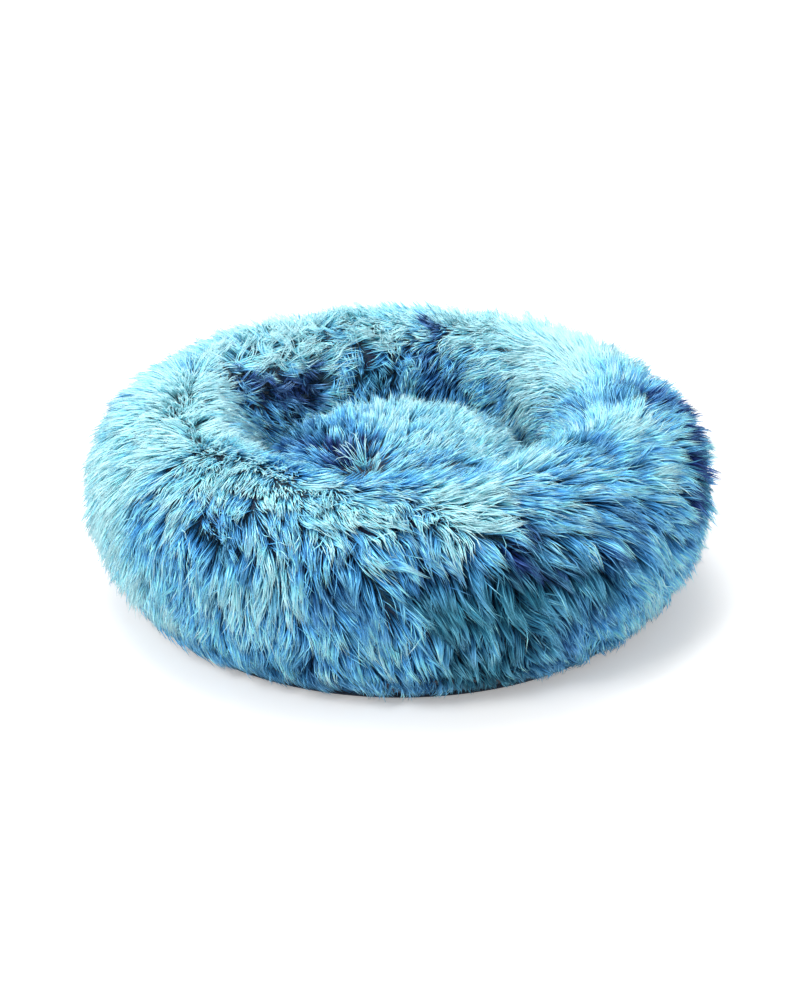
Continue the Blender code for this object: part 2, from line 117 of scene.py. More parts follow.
# How far a strand's length, height and turn differ from its lock's, and its width from root to tip
LENGTH_SPREAD = 0.10
HEIGHT_SPREAD = 0.14
TURN_SPREAD = 0.13
TAPER = ((0.0, 0.35, 0.7, 1.0), (0.85, 1.0, 0.92, 0.0))
# The share of the pile's locks and strands that the well and the cushion's seam go without
THINNED = 0.55
# The angles over the section between which a crease begins
CREASE_BEGINS = (72.0, 128.0)
HEM_LOCKS = 2600
HEM_STRANDS = 7000
LOOSE_FIBRES = 12
# The lowest that a strand may lie, and where its dye and its lock are looked up
LOWEST = 0.0016
DYE_DEPTH = 0.008
DYE_WANDER = 0.010
LOCK_DEPTH = 0.010

# Layers of cloth, and the band at the foot of the bolster that the zip closes
CLOTH_THICKNESS = 0.0015
BASE_THICKNESS = 0.003
BASE_RADIUS = 0.2371
BAND_DEPTH = 0.0115
ZIP_START = math.radians(38.0)
ZIP_END = math.radians(142.0)
TAPE_THICKNESS = 0.0008
COIL_INNER = 0.00045
COIL_OUTER = 0.0030
COIL_THICKNESS = 0.0024
STOP_ANGLE = 0.0121

# Dye splashes on the bolster: angle round the bed, angle over its section, reach, strength. Some deep and navy splashes
# paint shade as well as dye.
PALE_SPLASHES = (
    (96, 104, 0.045, 1.2), (66, 94, 0.055, 1.5), (52, 104, 0.055, 1.6), (38, 116, 0.065, 2.0), (36, 136, 0.036, 1.3),
    (28, 84, 0.060, 1.0), (18, 88, 0.060, 0.8), (102, 84, 0.060, 0.9), (124, 104, 0.070, 1.2), (136, 116, 0.040, 1.0),
    (148, 108, 0.060, 1.0), (160, 124, 0.036, 0.8), (176, 100, 0.070, 1.0), (190, 56, 0.105, 1.4),
    (186, 86, 0.060, 1.4), (203, 84, 0.075, 1.3), (226, 56, 0.040, 1.3), (243, 72, 0.030, 0.9), (308, 36, 0.034, 1.1),
    (136, 126, 0.034, 1.5), (262, -13, 0.034, 0.8), (274, -10, 0.030, 0.6), (333, 33, 0.030, 0.8), (249, 8, 0.028, 1.0),
    (214, 92, 0.050, 0.9), (208, 56, 0.060, 1.0), (198, 14, 0.095, 1.3), (222, 40, 0.036, 0.7), (214, -14, 0.050, 0.8),
    (340, 84, 0.036, 0.7), (306, 80, 0.042, 0.8), (312, 46, 0.034, 0.6), (290, 70, 0.036, 1.0), (280, 58, 0.034, 1.2),
    (261, 54, 0.050, 1.3), (283, 48, 0.044, 1.3), (270, -16, 0.030, 0.4), (276, 40, 0.030, 0.7), (246, 64, 0.044, 1.1),
    (249, 42, 0.034, 0.6), (232, 76, 0.040, 0.8), (240, 2, 0.040, 0.6), (250, 14, 0.026, 0.8), (330, -22, 0.050, 0.4),
    (346, 50, 0.034, 0.6), (140, 14, 0.085, 0.8), (45, 2, 0.090, 0.8), (92, -14, 0.055, 0.6), (72, 40, 0.050, 0.7),
)
# Deep dye, with painted shade along the hem, low on the front right and in the fold on the right
DEEP_DYE_AND_SHADE_SPLASHES = (
    (219, 12, 0.040, 0.5), (236, 26, 0.036, 0.7), (260, 12, 0.048, 0.8), (252, 34, 0.030, 0.6), (254, -38, 0.040, 0.5),
    (286, -34, 0.050, 0.8), (278, 3, 0.052, 1.2), (280, 30, 0.034, 0.7), (290, 14, 0.056, 1.0), (305, 12, 0.056, 1.0),
    (300, -24, 0.044, 0.7), (322, 22, 0.040, 0.6), (17, 89, 0.030, 1.1), (306, 66, 0.028, 0.7), (322, 96, 0.034, 0.7),
    (336, -14, 0.044, 0.7), (342, 16, 0.044, 0.8), (80, 132, 0.024, 0.7), (73, 138, 0.036, 1.2), (291, 24, 0.036, 1.0),
    (324, 80, 0.030, 0.6), (348, 98, 0.026, 0.7), (128, 152, 0.036, 0.9), (150, 142, 0.036, 0.9),
    (100, 148, 0.034, 0.7), (74, 150, 0.034, 0.7), (354, 94, 0.032, 1.0), (3, 66, 0.036, 1.1), (4, 44, 0.036, 1.1),
    (350, 26, 0.046, 0.9), (26, 150, 0.030, 0.9), (50, 160, 0.030, 0.7), (4, 124, 0.028, 0.7), (352, 90, 0.022, 0.5),
    (254, 140, 0.080, 0.5), (170, 24, 0.050, 0.6), (116, 22, 0.055, 0.8), (70, 10, 0.060, 0.9), (18, 12, 0.050, 0.8),
    (106, -34, 0.060, 0.6), (186, -30, 0.050, 0.6),
)
# Navy dye, with painted shade in the fold on the right near 0° and low on the front right
NAVY_DYE_AND_SHADE_SPLASHES = (
    (156, 120, 0.013, 0.8), (153, 133, 0.015, 1.1), (146, 142, 0.025, 1.3), (137, 150, 0.024, 1.3),
    (128, 152, 0.022, 1.2), (124, 146, 0.018, 1.2), (150, 152, 0.020, 0.9), (83, 104, 0.014, 1.3),
    (81, 114, 0.010, 1.1), (80, 123, 0.009, 1.0), (78, 133, 0.009, 0.9), (15, 155, 0.014, 0.9), (7, 142, 0.011, 0.9),
    (0, 129, 0.011, 0.9), (356, 117, 0.012, 1.0), (355, 106, 0.013, 1.0), (0, 94, 0.016, 0.9), (3, 82, 0.018, 0.85),
    (4, 66, 0.019, 0.85), (7, 51, 0.020, 1.0), (5, 38, 0.021, 1.1), (357, 31, 0.022, 1.0), (347, 22, 0.024, 1.0),
    (340, 12, 0.026, 0.9), (298, 14, 0.030, 0.7), (311, 8, 0.026, 0.6), (286, 2, 0.020, 0.4), (292, 26, 0.032, 0.9),
    (164, 12, 0.028, 0.8), (72, 8, 0.034, 0.8), (112, 30, 0.024, 0.6),
)
# Dye splashes on the cushion: place across it, reach, strength
CUSHION_PALE = (
    (0.075, 0.020, 0.060, 1.1), (0.000, -0.095, 0.030, 1.0), (0.095, -0.040, 0.040, 1.0), (0.015, 0.010, 0.070, 0.55),
    (0.040, 0.085, 0.060, 1.1), (-0.050, 0.085, 0.040, 0.7),
)
CUSHION_DEEP = ((-0.102, 0.012, 0.040, 1.1), (-0.072, -0.012, 0.036, 0.9), (-0.048, -0.050, 0.028, 0.9))
CUSHION_NAVY = ((-0.053, -0.043, 0.021, 1.3), (-0.074, -0.026, 0.018, 1.1), (-0.096, 0.004, 0.015, 0.9))
# The palest that lit pile may come to
PALEST = (0.60, 0.935, 1.0)
# Crowns, from which the pile fans out: angle round the bed, angle over its section, reach, strength
CROWNS = (
    (208, 84, 0.042, 0.7), (281, 60, 0.036, 0.5), (343, 84, 0.036, 1.0), (74, 80, 0.040, 0.9), (121, 76, 0.050, 0.9),
    (166, 82, 0.045, 0.9),
)
# Where the pile lies calm: angle round the bed, spread round it, angles over the section between which it begins
CALM = ((44, 26, 84, 106), (234, 30, 46, 70))
CUSHION_FAN = (-0.034, -0.066)
# The line from which the pile falls to both sides: its angle over the section, and how far it moves in and out
PARTING = 96.0
PARTING_FRONT = 0.058
PARTING_BEHIND = 0.040
# Tangled places: angle round the bed, angle over its section, reach, strength
TANGLES = ((140, 116, 0.055, 1.0), (118, 122, 0.040, 0.9), (100, 128, 0.030, 0.6), (231, 32, 0.024, 0.35))


# Settings that a user would change


def colour_setting(name, description, default):
    return bpy.props.FloatVectorProperty(
        name=name, description=description, default=default, subtype="COLOR", size=3
    )


def length_setting(name, description, default):
    return bpy.props.FloatProperty(
        name=name, description=description, default=default, unit="LENGTH", subtype="DISTANCE"
    )


def power_setting(name, description, default):
    return bpy.props.FloatProperty(name=name, description=description, default=default, unit="POWER", subtype="POWER")


def share_setting(name, description, default):
    return bpy.props.FloatProperty(name=name, description=description, default=default, subtype="FACTOR")


class PetBedPile(bpy.types.PropertyGroup):
    layers: bpy.props.IntProperty(name="Layers", description="Rounds of long pile on the bolster", default=6, min=1)
    wool_layers: bpy.props.IntProperty(name="Wool layers", description="Rounds of short wool", default=2, min=1)
    strands: bpy.props.IntProperty(name="Strands", description="Strands in each round", default=12000, min=100)
    length: length_setting("Length", "Usual length of a strand", 0.041)
    width: length_setting("Width", "A strand's width at its root", 0.0011)
    height: length_setting("Height", "How far the pile stands up", 0.0225)
    lock_spacing: length_setting("Lock spacing", "Distance between locks", 0.0100)
    clumping: share_setting("Clumping", "How far a lock's strands draw together", 0.86)


class PetBedDye(bpy.types.PropertyGroup):
    ice: colour_setting("Ice", "Palest dye", (0.37, 0.80, 1.0))
    tip: colour_setting("Tip", "What bleached tips come to", (0.54, 0.915, 1.0))
    sky: colour_setting("Sky", "Dye of most of the pile", (0.16, 0.57, 1.0))
    denim: colour_setting("Denim", "Deeper dye", (0.042, 0.185, 0.450))
    teal: colour_setting("Teal", "Deeper dye, in its greener places", (0.032, 0.210, 0.320))
    navy: colour_setting("Navy", "Deepest dye", (0.013, 0.036, 0.17))
    # Root: painted shade at a strand's root, deep in the pile
    root: share_setting("Root", "Brightness of a strand's root beside its tip", 0.18)
    bleach: share_setting("Bleach", "How much of the palest dye the tips take", 0.95)


class PetBedCloth(bpy.types.PropertyGroup):
    base: colour_setting("Base", "The base's cloth", (0.030, 0.050, 0.085))
    lining: colour_setting("Lining", "The well's lining", (0.040, 0.12, 0.21))
    bag: colour_setting("Bag", "The inner bag", (0.78, 0.79, 0.78))
    base_pitch: length_setting("Thread pitch", "Distance between threads", 0.0014)


class PetBedZip(bpy.types.PropertyGroup):
    tape: colour_setting("Tape", "The zip's tapes", (0.030, 0.085, 0.150))
    nylon: colour_setting("Nylon", "The zip's coils", (0.025, 0.070, 0.125))
    thread: colour_setting("Thread", "The stitching", (0.06, 0.20, 0.32))
    pitch: length_setting("Pitch", "Distance between a coil's turns", 0.0016)
    wire: length_setting("Wire", "Width of a coil's nylon", 0.00074)
    stitch: length_setting("Stitch", "Length of a stitch", 0.0032)
    thread_width: length_setting("Thread width", "Width of the thread", 0.0006)
    edge: length_setting("Edge", "How far metal edges are eased", 0.00016)


class PetBedStage(bpy.types.PropertyGroup):
    distance: length_setting("Distance", "From the camera to the bed", 2.5)
    elevation: bpy.props.FloatProperty(
        name="Elevation", description="Camera's angle above the floor", default=math.radians(24.4), subtype="ANGLE"
    )
    aim: length_setting("Aim", "Height that the camera looks at", 0.1)
    lens: bpy.props.FloatProperty(
        name="Lens", description="Focal length", default=93.8, unit="CAMERA", subtype="DISTANCE_CAMERA"
    )
    rise: bpy.props.FloatProperty(name="Rise", description="Camera's upward shift", default=-0.014)
    key: power_setting("Key", "Main lamp", 79.0)
    fill: power_setting("Fill", "Side lamp", 14.0)
    top: power_setting("Top", "Lamp overhead", 66.0)
    sky: share_setting("Sky", "Light from all round", 0.58)


# Finishes


class Value:
    """A socket of a finish. Arithmetic on it adds Math nodes."""

    def __init__(self, finish, socket):
        self.finish = finish
        self.socket = socket

    def math(self, operation, first, second=0.0):
        return self.finish.node("ShaderNodeMath", {0: first, 1: second}, operation=operation)

    def __add__(self, other):
        return self.math("ADD", self, other)

    def __radd__(self, other):
        return self.math("ADD", other, self)

    def __sub__(self, other):
        return self.math("SUBTRACT", self, other)

    def __rsub__(self, other):
        return self.math("SUBTRACT", other, self)

    def __mul__(self, other):
        return self.math("MULTIPLY", self, other)

    def __pow__(self, other):
        return self.math("POWER", self, other)

    def sine(self):
        return self.math("SINE", self)

    def ping_pong(self, scale):
        return self.math("PINGPONG", self, scale)

    def smooth(self, low, high):
        """0 below low, 1 above high, and a soft step between them."""
        sockets = {"Value": self, "From Min": low, "From Max": high}
        return self.finish.node("ShaderNodeMapRange", sockets, interpolation_type="SMOOTHSTEP")


class Finish:
    """A material with one Principled shader. What is the same all over is given as settings of its sockets."""

    def __init__(self, name, **constants):
        self.material = bpy.data.materials.new(name)
        self.material.use_nodes = True
        self.tree = self.material.node_tree
        self.shader = self.tree.nodes["Principled BSDF"]
        for key, value in constants.items():
            self.shader.inputs[key.replace("_", " ").title().replace("Ior", "IOR")].default_value = value

    def node(self, kind, sockets, output=0, **settings):
        """Any node: its settings come first, then the values or links of its sockets."""
        made = self.tree.nodes.new(kind)
        for key, value in settings.items():
            setattr(made, key, value)
        for key, value in sockets.items():
            if isinstance(value, Value):
                self.tree.links.new(value.socket, made.inputs[key])
            else:
                made.inputs[key].default_value = value
        return Value(self, made.outputs[output])

    def attribute(self, name, output="Fac"):
        return self.node("ShaderNodeAttribute", {}, output, attribute_name=name)

    def place(self):
        return self.node("ShaderNodeTexCoord", {}, "Object")

    def parts(self, vector):
        """The x, y and z of a vector, or the red, green and blue of a colour."""
        split = self.node("ShaderNodeSeparateXYZ", {0: vector})
        return [Value(self, socket) for socket in split.socket.node.outputs]

    def round_axis(self):
        """The angle round the upright axis, the distance from it and the height."""
        x, y, z = self.parts(self.place())
        return y.math("ARCTAN2", y, x), (x * x + y * y) ** 0.5, z

    def noise(self, vector, scale, detail=2.0, roughness=0.5):
        sockets = {"Vector": vector, "Scale": scale, "Detail": detail, "Roughness": roughness}
        return self.node("ShaderNodeTexNoise", sockets)

    def mix(self, share, first, second):
        sockets = {0: share, 6: colour_of(first), 7: colour_of(second)}
        return self.node("ShaderNodeMix", sockets, 2, data_type="RGBA")

    def dimmed(self, colour, brightness):
        """A colour times a brightness."""
        return self.node("ShaderNodeVectorMath", {0: colour, "Scale": brightness}, operation="SCALE")

    def grain(self, scale, detail=2.0, roughness=0.5):
        """Noise that stays with the piece."""
        return self.noise(self.place(), scale, detail, roughness)

    def paint(self, colour, brightness):
        self.feed("Base Color", self.dimmed(colour, brightness))

    def bump(self, height, distance):
        self.feed("Normal", self.node("ShaderNodeBump", {"Height": height, "Distance": distance}))

    def feed(self, socket, value):
        self.tree.links.new(value.socket, self.shader.inputs[socket])

    def on(self, piece):
        piece.data.materials.clear()
        piece.data.materials.append(self.material)
        return piece


def colour_of(value):
    return value if isinstance(value, Value) else (*tuple(value)[:3], 1.0)


# The bolster's surface


def smooth_step(low, high, value):
    share = np.clip((value - low) / (high - low), 0.0, 1.0)
    return share * share * (3.0 - 2.0 * share)


def alpha_at(height):
    return -math.asin((BULGE_HEIGHT - height) / LOWER_SWELL)


def turn_from(theta, angle):
    """The turn from an angle in degrees to theta, from -pi to pi."""
    return (theta - math.radians(angle) + math.pi) % math.tau - math.pi


def line_length(radius, level):
    """How far each point of a section lies along it."""
    return np.concatenate([[0.0], np.cumsum(np.hypot(np.diff(radius), np.diff(level)))])


class BolsterGround:
    """The bolster's surface as (across, along): metres round the crest, and metres up from the floor and over.

    across / CREST_RADIUS is the angle round the bed. A point's depth is measured inwards from the outside of the pile.
    """

    def __init__(self):
        below = np.linspace(alpha_at(0.0005), 0.0, 60)
        above = np.linspace(0.0, math.pi, 240)[1:]
        wall = np.linspace(BULGE_HEIGHT, BASE_TOP + 0.002, 60)[1:]
        none_below, one_wall = np.zeros_like(below), np.ones_like(wall)
        outer = BED_RADIUS - CREST_RADIUS
        reach = np.where(np.cos(above) > 0, outer, CREST_RADIUS - WELL_RADIUS)
        rise = BOLSTER_HEIGHT - BULGE_HEIGHT
        self.radius, self.level, self.inward, self.downward, self.alpha = map(
            np.concatenate,
            (
                [CREST_RADIUS + outer * np.cos(below), CREST_RADIUS + reach * np.cos(above), WELL_RADIUS * one_wall],
                [BULGE_HEIGHT + LOWER_SWELL * np.sin(below), BULGE_HEIGHT + rise * np.sin(above), wall],
                [none_below - 1.0, -np.cos(above), one_wall],
                [none_below, -np.sin(above), 0.0 * one_wall],
                [below, above, math.pi * one_wall],
            ),
        )
        self.along = line_length(self.radius, self.level)
        self.length = self.along[-1]

    def at(self, along, values):
        return np.interp(along, self.along, values)

    def along_of(self, alpha_deg):
        return float(np.interp(math.radians(alpha_deg), self.alpha, self.along))

    def crease(self, theta, along):
        alpha = self.at(along, self.alpha)
        depth = np.zeros_like(theta)
        for angle, open_share in CREASES:
            apart = turn_from(theta, angle) * CREST_RADIUS / CREASE_HALF_WIDTH
            depth += open_share * CREASE_DEPTH * np.exp(-(apart**2))
        share = smooth_step(*map(math.radians, CREASE_BEGINS), alpha)
        return depth * share * (1.0 + (WELL_CREASE_SHARE - 1.0) * smooth_step(math.pi / 2, math.pi, alpha))

    def place(self, across, along, depth):
        theta = across / CREST_RADIUS
        inside = depth + self.crease(theta, along)
        radius = self.at(along, self.radius) + self.at(along, self.inward) * inside
        level = self.at(along, self.level) + self.at(along, self.downward) * inside
        return np.stack([radius * np.cos(theta), radius * np.sin(theta), level], axis=-1)

    def moved(self, across, along, sideways, onward):
        """The place that lies so many metres sideways and onward."""
        radius = self.at(along, self.radius)
        return across + sideways * CREST_RADIUS / radius, along + onward

    def scattered(self, count, rng, density):
        """Places spread evenly over the surface, from the fur's hem on, thinned out by density(along)."""
        found = []
        while sum(map(len, found)) < count:
            across = rng.uniform(0.0, math.tau * CREST_RADIUS, count)
            along = rng.uniform(HEM, self.length, count)
            share = self.at(along, self.radius) / BED_RADIUS * density(along)
            share = share * (0.55 + 0.45 * near_crown(across, along))
            found.append(np.stack([across, along], axis=1)[rng.random(count) < share])
        return np.concatenate(found)[:count].T.copy()


class CushionGround:
    """The cushion's dome as (across, along): a plane unrolled from the crown, metres from it along the skin."""

    def __init__(self):
        turn = np.linspace(math.pi / 2, 0.0, 160)
        across = np.cos(turn).clip(0) ** (2.0 / DOME_EXPONENT)
        up = np.sin(turn).clip(0) ** (2.0 / DOME_EXPONENT)
        wall = np.linspace(CUSHION_SHOULDER, CUSHION_SEAM_HEIGHT - CUSHION_OVERHANG, 38)[1:]
        self.radius = np.concatenate([CUSHION_RADIUS * across, np.full(len(wall), CUSHION_RADIUS)])
        self.level = np.concatenate([CUSHION_SHOULDER + (CUSHION_CROWN - CUSHION_SHOULDER) * up, wall])
        self.distance = line_length(self.radius, self.level)
        self.length = self.distance[-1] - CUSHION_OVERHANG
        slope_r = np.gradient(self.radius, self.distance)
        slope_z = np.gradient(self.level, self.distance)
        size = np.hypot(slope_r, slope_z)
        self.inward, self.downward = slope_z / size, -slope_r / size

    def at(self, distance, values):
        return np.interp(distance, self.distance, values)

    def place(self, across, along, depth):
        distance = np.hypot(across, along)
        safe = np.maximum(distance, 1e-6)
        to_seam = smooth_step(0.0, CUSHION_EDGE, self.length - distance)
        depth = depth * np.where(np.asarray(depth) > 0.0, 0.16 + 0.84 * to_seam, 1.0)
        radius = np.maximum(self.at(distance, self.radius) + self.at(distance, self.inward) * depth, 0.0)
        level = self.at(distance, self.level) + self.at(distance, self.downward) * depth
        return np.stack([radius * across / safe, radius * along / safe, level], axis=-1)

    def moved(self, across, along, sideways, onward):
        distance = np.maximum(np.hypot(across, along), 1e-4)
        out_x, out_y = across / distance, along / distance
        outward = sideways * out_x + onward * out_y
        around = -sideways * out_y + onward * out_x
        around = around * distance / np.maximum(self.at(distance, self.radius), 1e-3)
        return across + outward * out_x - around * out_y, along + outward * out_y + around * out_x

    def scattered(self, count, rng, density):
        distance = np.linspace(0.0, self.length - 0.004, 400)
        weight = self.at(distance, self.radius) * density(distance)
        total = np.concatenate([[0.0], np.cumsum((weight[1:] + weight[:-1]) / 2)])
        chosen = np.interp(rng.random(count) * total[-1], total, distance)
        angle = rng.uniform(0.0, math.tau, count)
        return chosen * np.cos(angle), chosen * np.sin(angle)


BOLSTER = BolsterGround()
HEM = BOLSTER.along_of(math.degrees(alpha_at(FUR_HEM)))
CUSHION = CushionGround()


class Waves:
    """Soft noise in space: a sum of sine waves in seeded directions, from about -1 to 1."""

    def __init__(self, seed, wavelength, count=10):
        rng = np.random.default_rng(seed)
        direction = rng.normal(size=(count, 3))
        direction /= np.linalg.norm(direction, axis=1)[:, None]
        self.number = direction * math.tau / (wavelength * rng.uniform(0.6, 1.7, count))[:, None]
        self.phase = rng.uniform(0.0, math.tau, count)

    def __call__(self, places):
        return np.sin(places @ self.number.T + self.phase).sum(axis=-1) * math.sqrt(2.0 / len(self.phase)) * 0.7


WIDE_DRIFT = Waves(11, 0.16)
DRIFT = Waves(12, 0.055)
SMALL_DRIFT = Waves(13, 0.022)
TUFTS = Waves(14, 0.026, 14)
DYE_DRIFT = [Waves(21 + i, 0.045) for i in range(3)]


def splash(places, centres):
    """How strongly places take a dye, from soft round splashes with wandering edges."""
    moved = places + np.stack([drift(places) for drift in DYE_DRIFT], axis=-1) * DYE_WANDER
    total = np.zeros(len(places))
    for centre, reach, strength in centres:
        apart = np.linalg.norm(moved - centre, axis=1) / reach
        total = np.maximum(total, strength * np.exp(-(apart**2) * 1.1))
    return total


def bolster_centres(splashes):
    for angle, alpha, *rest in splashes:
        across = np.array([math.radians(angle) * CREST_RADIUS])
        yield BOLSTER.place(across, np.array([BOLSTER.along_of(alpha)]), DYE_DEPTH)[0], *rest


def cushion_centres(splashes):
    for x, y, *rest in splashes:
        yield CUSHION.place(np.array([x]), np.array([y]), DYE_DEPTH)[0], *rest


def past_parting(across, along):
    """How far a place lies inwards of the line from which the pile falls to both sides."""
    theta = across / CREST_RADIUS
    front = smooth_step(0.22, 0.72, -np.sin(theta))
    behind = smooth_step(0.05, 0.70, np.sin(theta))
    wander = 0.012 * np.sin(3.0 * theta + 0.6)
    return along - BOLSTER.along_of(PARTING) - PARTING_FRONT * front + PARTING_BEHIND * behind - wander


def calm(across, along):
    """1 where the pile lies smooth and flat, which it does in the CALM places, and 0 elsewhere."""
    theta = (across / CREST_RADIUS) % math.tau
    alpha = BOLSTER.at(along, BOLSTER.alpha)
    total = np.zeros_like(theta)
    for angle, spread, low, high in CALM:
        round_it = np.exp(-(((theta - math.radians(angle)) / math.radians(spread)) ** 4))
        total += round_it * smooth_step(math.radians(low), math.radians(high), alpha)
    return total


def from_crowns(across, along):
    """For each crown: metres sideways and onward from it, its reach and its strength."""
    radius = BOLSTER.at(along, BOLSTER.radius)
    for angle, alpha, *rest in CROWNS:
        yield turn_from(across / CREST_RADIUS, angle) * radius, along - BOLSTER.along_of(alpha), *rest


def turned(sideways, onward, turn):
    cos, sin = np.cos(turn), np.sin(turn)
    return sideways * cos - onward * sin, sideways * sin + onward * cos


def unit(sideways, onward):
    size = np.maximum(np.hypot(sideways, onward), 1e-6)
    return sideways / size, onward / size


def bolster_flow(across, along):
    """Which way the pile lies: (sideways, onward) parts of a unit vector."""
    theta = across / CREST_RADIUS
    places = BOLSTER.place(across, along, DYE_DEPTH)
    over = past_parting(across, along)
    onward = np.tanh(over / 0.070)
    sweep = 0.60 + 0.42 * np.cos(theta - math.radians(310.0))
    sideways = sweep * (0.85 * np.exp(-((over / 0.085) ** 2)) + 0.55)
    in_well = smooth_step(BOLSTER.along_of(125.0), BOLSTER.along_of(165.0), along)
    onward = onward + 0.9 * in_well
    low = 1.0 - smooth_step(BOLSTER.along_of(-40.0), BOLSTER.along_of(20.0), along)
    onward = onward - 0.9 * low
    for side, up, reach, strength in from_crowns(across, along):
        apart = np.hypot(side, up)
        pull = 1.3 * strength * np.exp(-((apart / reach) ** 2)) / np.maximum(apart, 0.026)
        sideways = sideways + pull * side
        onward = onward + pull * up
    turn = (0.26 * DRIFT(places) + 0.10 * SMALL_DRIFT(places)) * (1.0 - 0.5 * calm(across, along))
    return unit(*turned(sideways, onward, turn))


def near_crown(across, along):
    """1 at a crown's middle, where the pile stands up, less along the parting, and 0 away from them."""
    total = 0.5 * np.exp(-((past_parting(across, along) / 0.020) ** 2))
    for side, up, reach, strength in from_crowns(across, along):
        total = np.maximum(total, strength * np.exp(-((np.hypot(side, up) / (0.75 * reach)) ** 2)))
    return np.minimum(total, 1.0)


def cushion_flow(across, along):
    """Which way the cushion's pile lies: it fans out from its front left, and outwards beside its seam."""
    places = CUSHION.place(across, along, DYE_DEPTH)
    side, up = across - CUSHION_FAN[0], along - CUSHION_FAN[1]
    apart = np.maximum(np.hypot(side, up), 0.010)
    sideways = side / apart + 0.20
    onward = up / apart
    distance = np.maximum(np.hypot(across, along), 1e-4)
    edge = smooth_step(0.105, 0.150, distance) * 3.0
    sideways = sideways + edge * across / distance
    onward = onward + edge * along / distance
    return unit(*turned(sideways, onward, 0.22 * DRIFT(places) + 0.08 * SMALL_DRIFT(places)))


# Pile


class Locks:
    """Locks of pile on a ground: where each stands, and how it runs, so that its strands can follow it."""

    def __init__(self, ground, flow, count, seed, density):
        rng = np.random.default_rng(seed)
        self.ground, self.flow, self.density = ground, flow, density
        self.across, self.along = ground.scattered(count, rng, density)
        self.places = ground.place(self.across, self.along, LOCK_DEPTH)
        self.turn = rng.normal(0.0, 0.13, count)
        self.bend = rng.normal(0.0, 0.24, count)
        self.length = rng.uniform(0.74, 1.16, count)
        self.height = rng.uniform(0.62, 1.16, count)
        self.clump = rng.uniform(0.72, 1.15, count)
        self.tone = rng.normal(0.0, 1.0, count)
        self.bleach = rng.random(count)
        tuft = TUFTS(self.places).clip(-1.3, 1.3)
        self.length *= 1.0 + 0.07 * tuft
        self.height *= 0.95 + 0.13 * tuft
        self.tone = 0.80 * self.tone + 0.62 * tuft
        tree = KDTree(count)
        for i, place in enumerate(self.places):
            tree.insert(place, i)
        tree.balance()
        self.tree = tree

    def nearest(self, places):
        return np.array([self.tree.find(place)[1] for place in places])


def paths(ground, flow, across, along, turn, bend, steps):
    """Walks over the ground with the flow. Returns the place after each step, as lists of across and along."""
    found = [(across, along)]
    for number, step in enumerate(steps):
        sideways, onward = flow(across, along)
        go_side, go_on = turned(sideways, onward, turn + bend * (number + 0.5) / len(steps))
        across, along = ground.moved(across, along, go_side * step, go_on * step)
        found.append((across, along))
    return found


def linked(name, data):
    """A new object in the scene."""
    made = bpy.data.objects.new(name, data)
    bpy.context.scene.collection.objects.link(made)
    return made


def strand_mesh(name, centres, sides, widths, values):
    """Closed three-sided strands along the centres, which are (strand, step, xyz). Values are kept per strand."""
    count, steps, _ = centres.shape
    rings = steps - 1
    tangent = np.gradient(centres, axis=1)
    tangent /= np.maximum(np.linalg.norm(tangent, axis=2, keepdims=True), 1e-9)
    side = sides - (sides * tangent).sum(axis=2, keepdims=True) * tangent
    side /= np.maximum(np.linalg.norm(side, axis=2, keepdims=True), 1e-9)
    up = np.cross(tangent, side)
    angles = np.array([math.pi / 2, math.pi * 7 / 6, math.pi * 11 / 6])
    ring = (
        centres[:, :rings, None]
        + widths[:, :rings, None, None]
        * (np.cos(angles)[:, None] * side[:, :rings, None] + 0.75 * np.sin(angles)[:, None] * up[:, :rings, None])
    )
    points = np.concatenate([ring.reshape(count, rings * 3, 3), centres[:, rings:]], axis=1)
    per = rings * 3 + 1
    quads, quad_uv, tris, tri_uv = [], [], [], []
    at = np.linspace(0.0, 1.0, steps)
    for j in range(rings - 1):
        for a in range(3):
            b = (a + 1) % 3
            quads.append((j * 3 + a, j * 3 + b, j * 3 + 3 + b, j * 3 + 3 + a))
            quad_uv.append(((0, at[j]), (1, at[j]), (1, at[j + 1]), (0, at[j + 1])))
    for a, apex in enumerate((0.0, 0.5, 1.0)):
        b = (a + 1) % 3
        tris.append(((rings - 1) * 3 + a, (rings - 1) * 3 + b, per - 1))
        tri_uv.append(((0, at[rings - 1]), (1, at[rings - 1]), (apex, 1)))
    tris.append((0, 2, 1))
    tri_uv.append(((0, 0), (0.5, 0.06), (1, 0)))
    first = (np.arange(count) * per)[:, None, None]
    quad_verts = (first + np.array(quads)[None]).reshape(count, -1)
    tri_verts = (first + np.array(tris)[None]).reshape(count, -1)
    corner_verts = np.concatenate([quad_verts, tri_verts], axis=1).ravel()
    sizes = np.tile(np.array([4] * len(quads) + [3] * len(tris)), count)
    starts = np.concatenate([[0], np.cumsum(sizes)[:-1]])
    mesh = bpy.data.meshes.new(name)
    mesh.vertices.add(count * per)
    mesh.vertices.foreach_set("co", points.astype(np.float32).ravel())
    mesh.loops.add(len(corner_verts))
    mesh.loops.foreach_set("vertex_index", corner_verts.astype(np.int32))
    mesh.polygons.add(len(sizes))
    mesh.polygons.foreach_set("loop_start", starts.astype(np.int32))
    mesh.update(calc_edges=True)
    mesh.shade_smooth()
    cell_uv = np.concatenate([np.array(quad_uv).reshape(-1, 2), np.array(tri_uv).reshape(-1, 2)])
    lay_out(mesh, cell_uv, values["order"], count)
    fade = np.repeat(values["fade"], per)
    write(mesh, "along", "FLOAT", fade + (1.0 - fade) * np.tile(np.append(np.repeat(at[:rings], 3), 1.0), count))
    for key in ("tone", "bleach"):
        write(mesh, key, "FLOAT", np.repeat(values[key], per))
    for key in ("root", "dye"):
        write(mesh, key, "FLOAT_VECTOR", np.repeat(values[key], per, axis=0))
    mesh.validate()
    return linked(name, mesh)


def write(mesh, name, kind, values):
    layer = mesh.attributes.new(name, kind, "POINT")
    layer.data.foreach_set("value" if kind == "FLOAT" else "vector", np.asarray(values, dtype=np.float32).ravel())


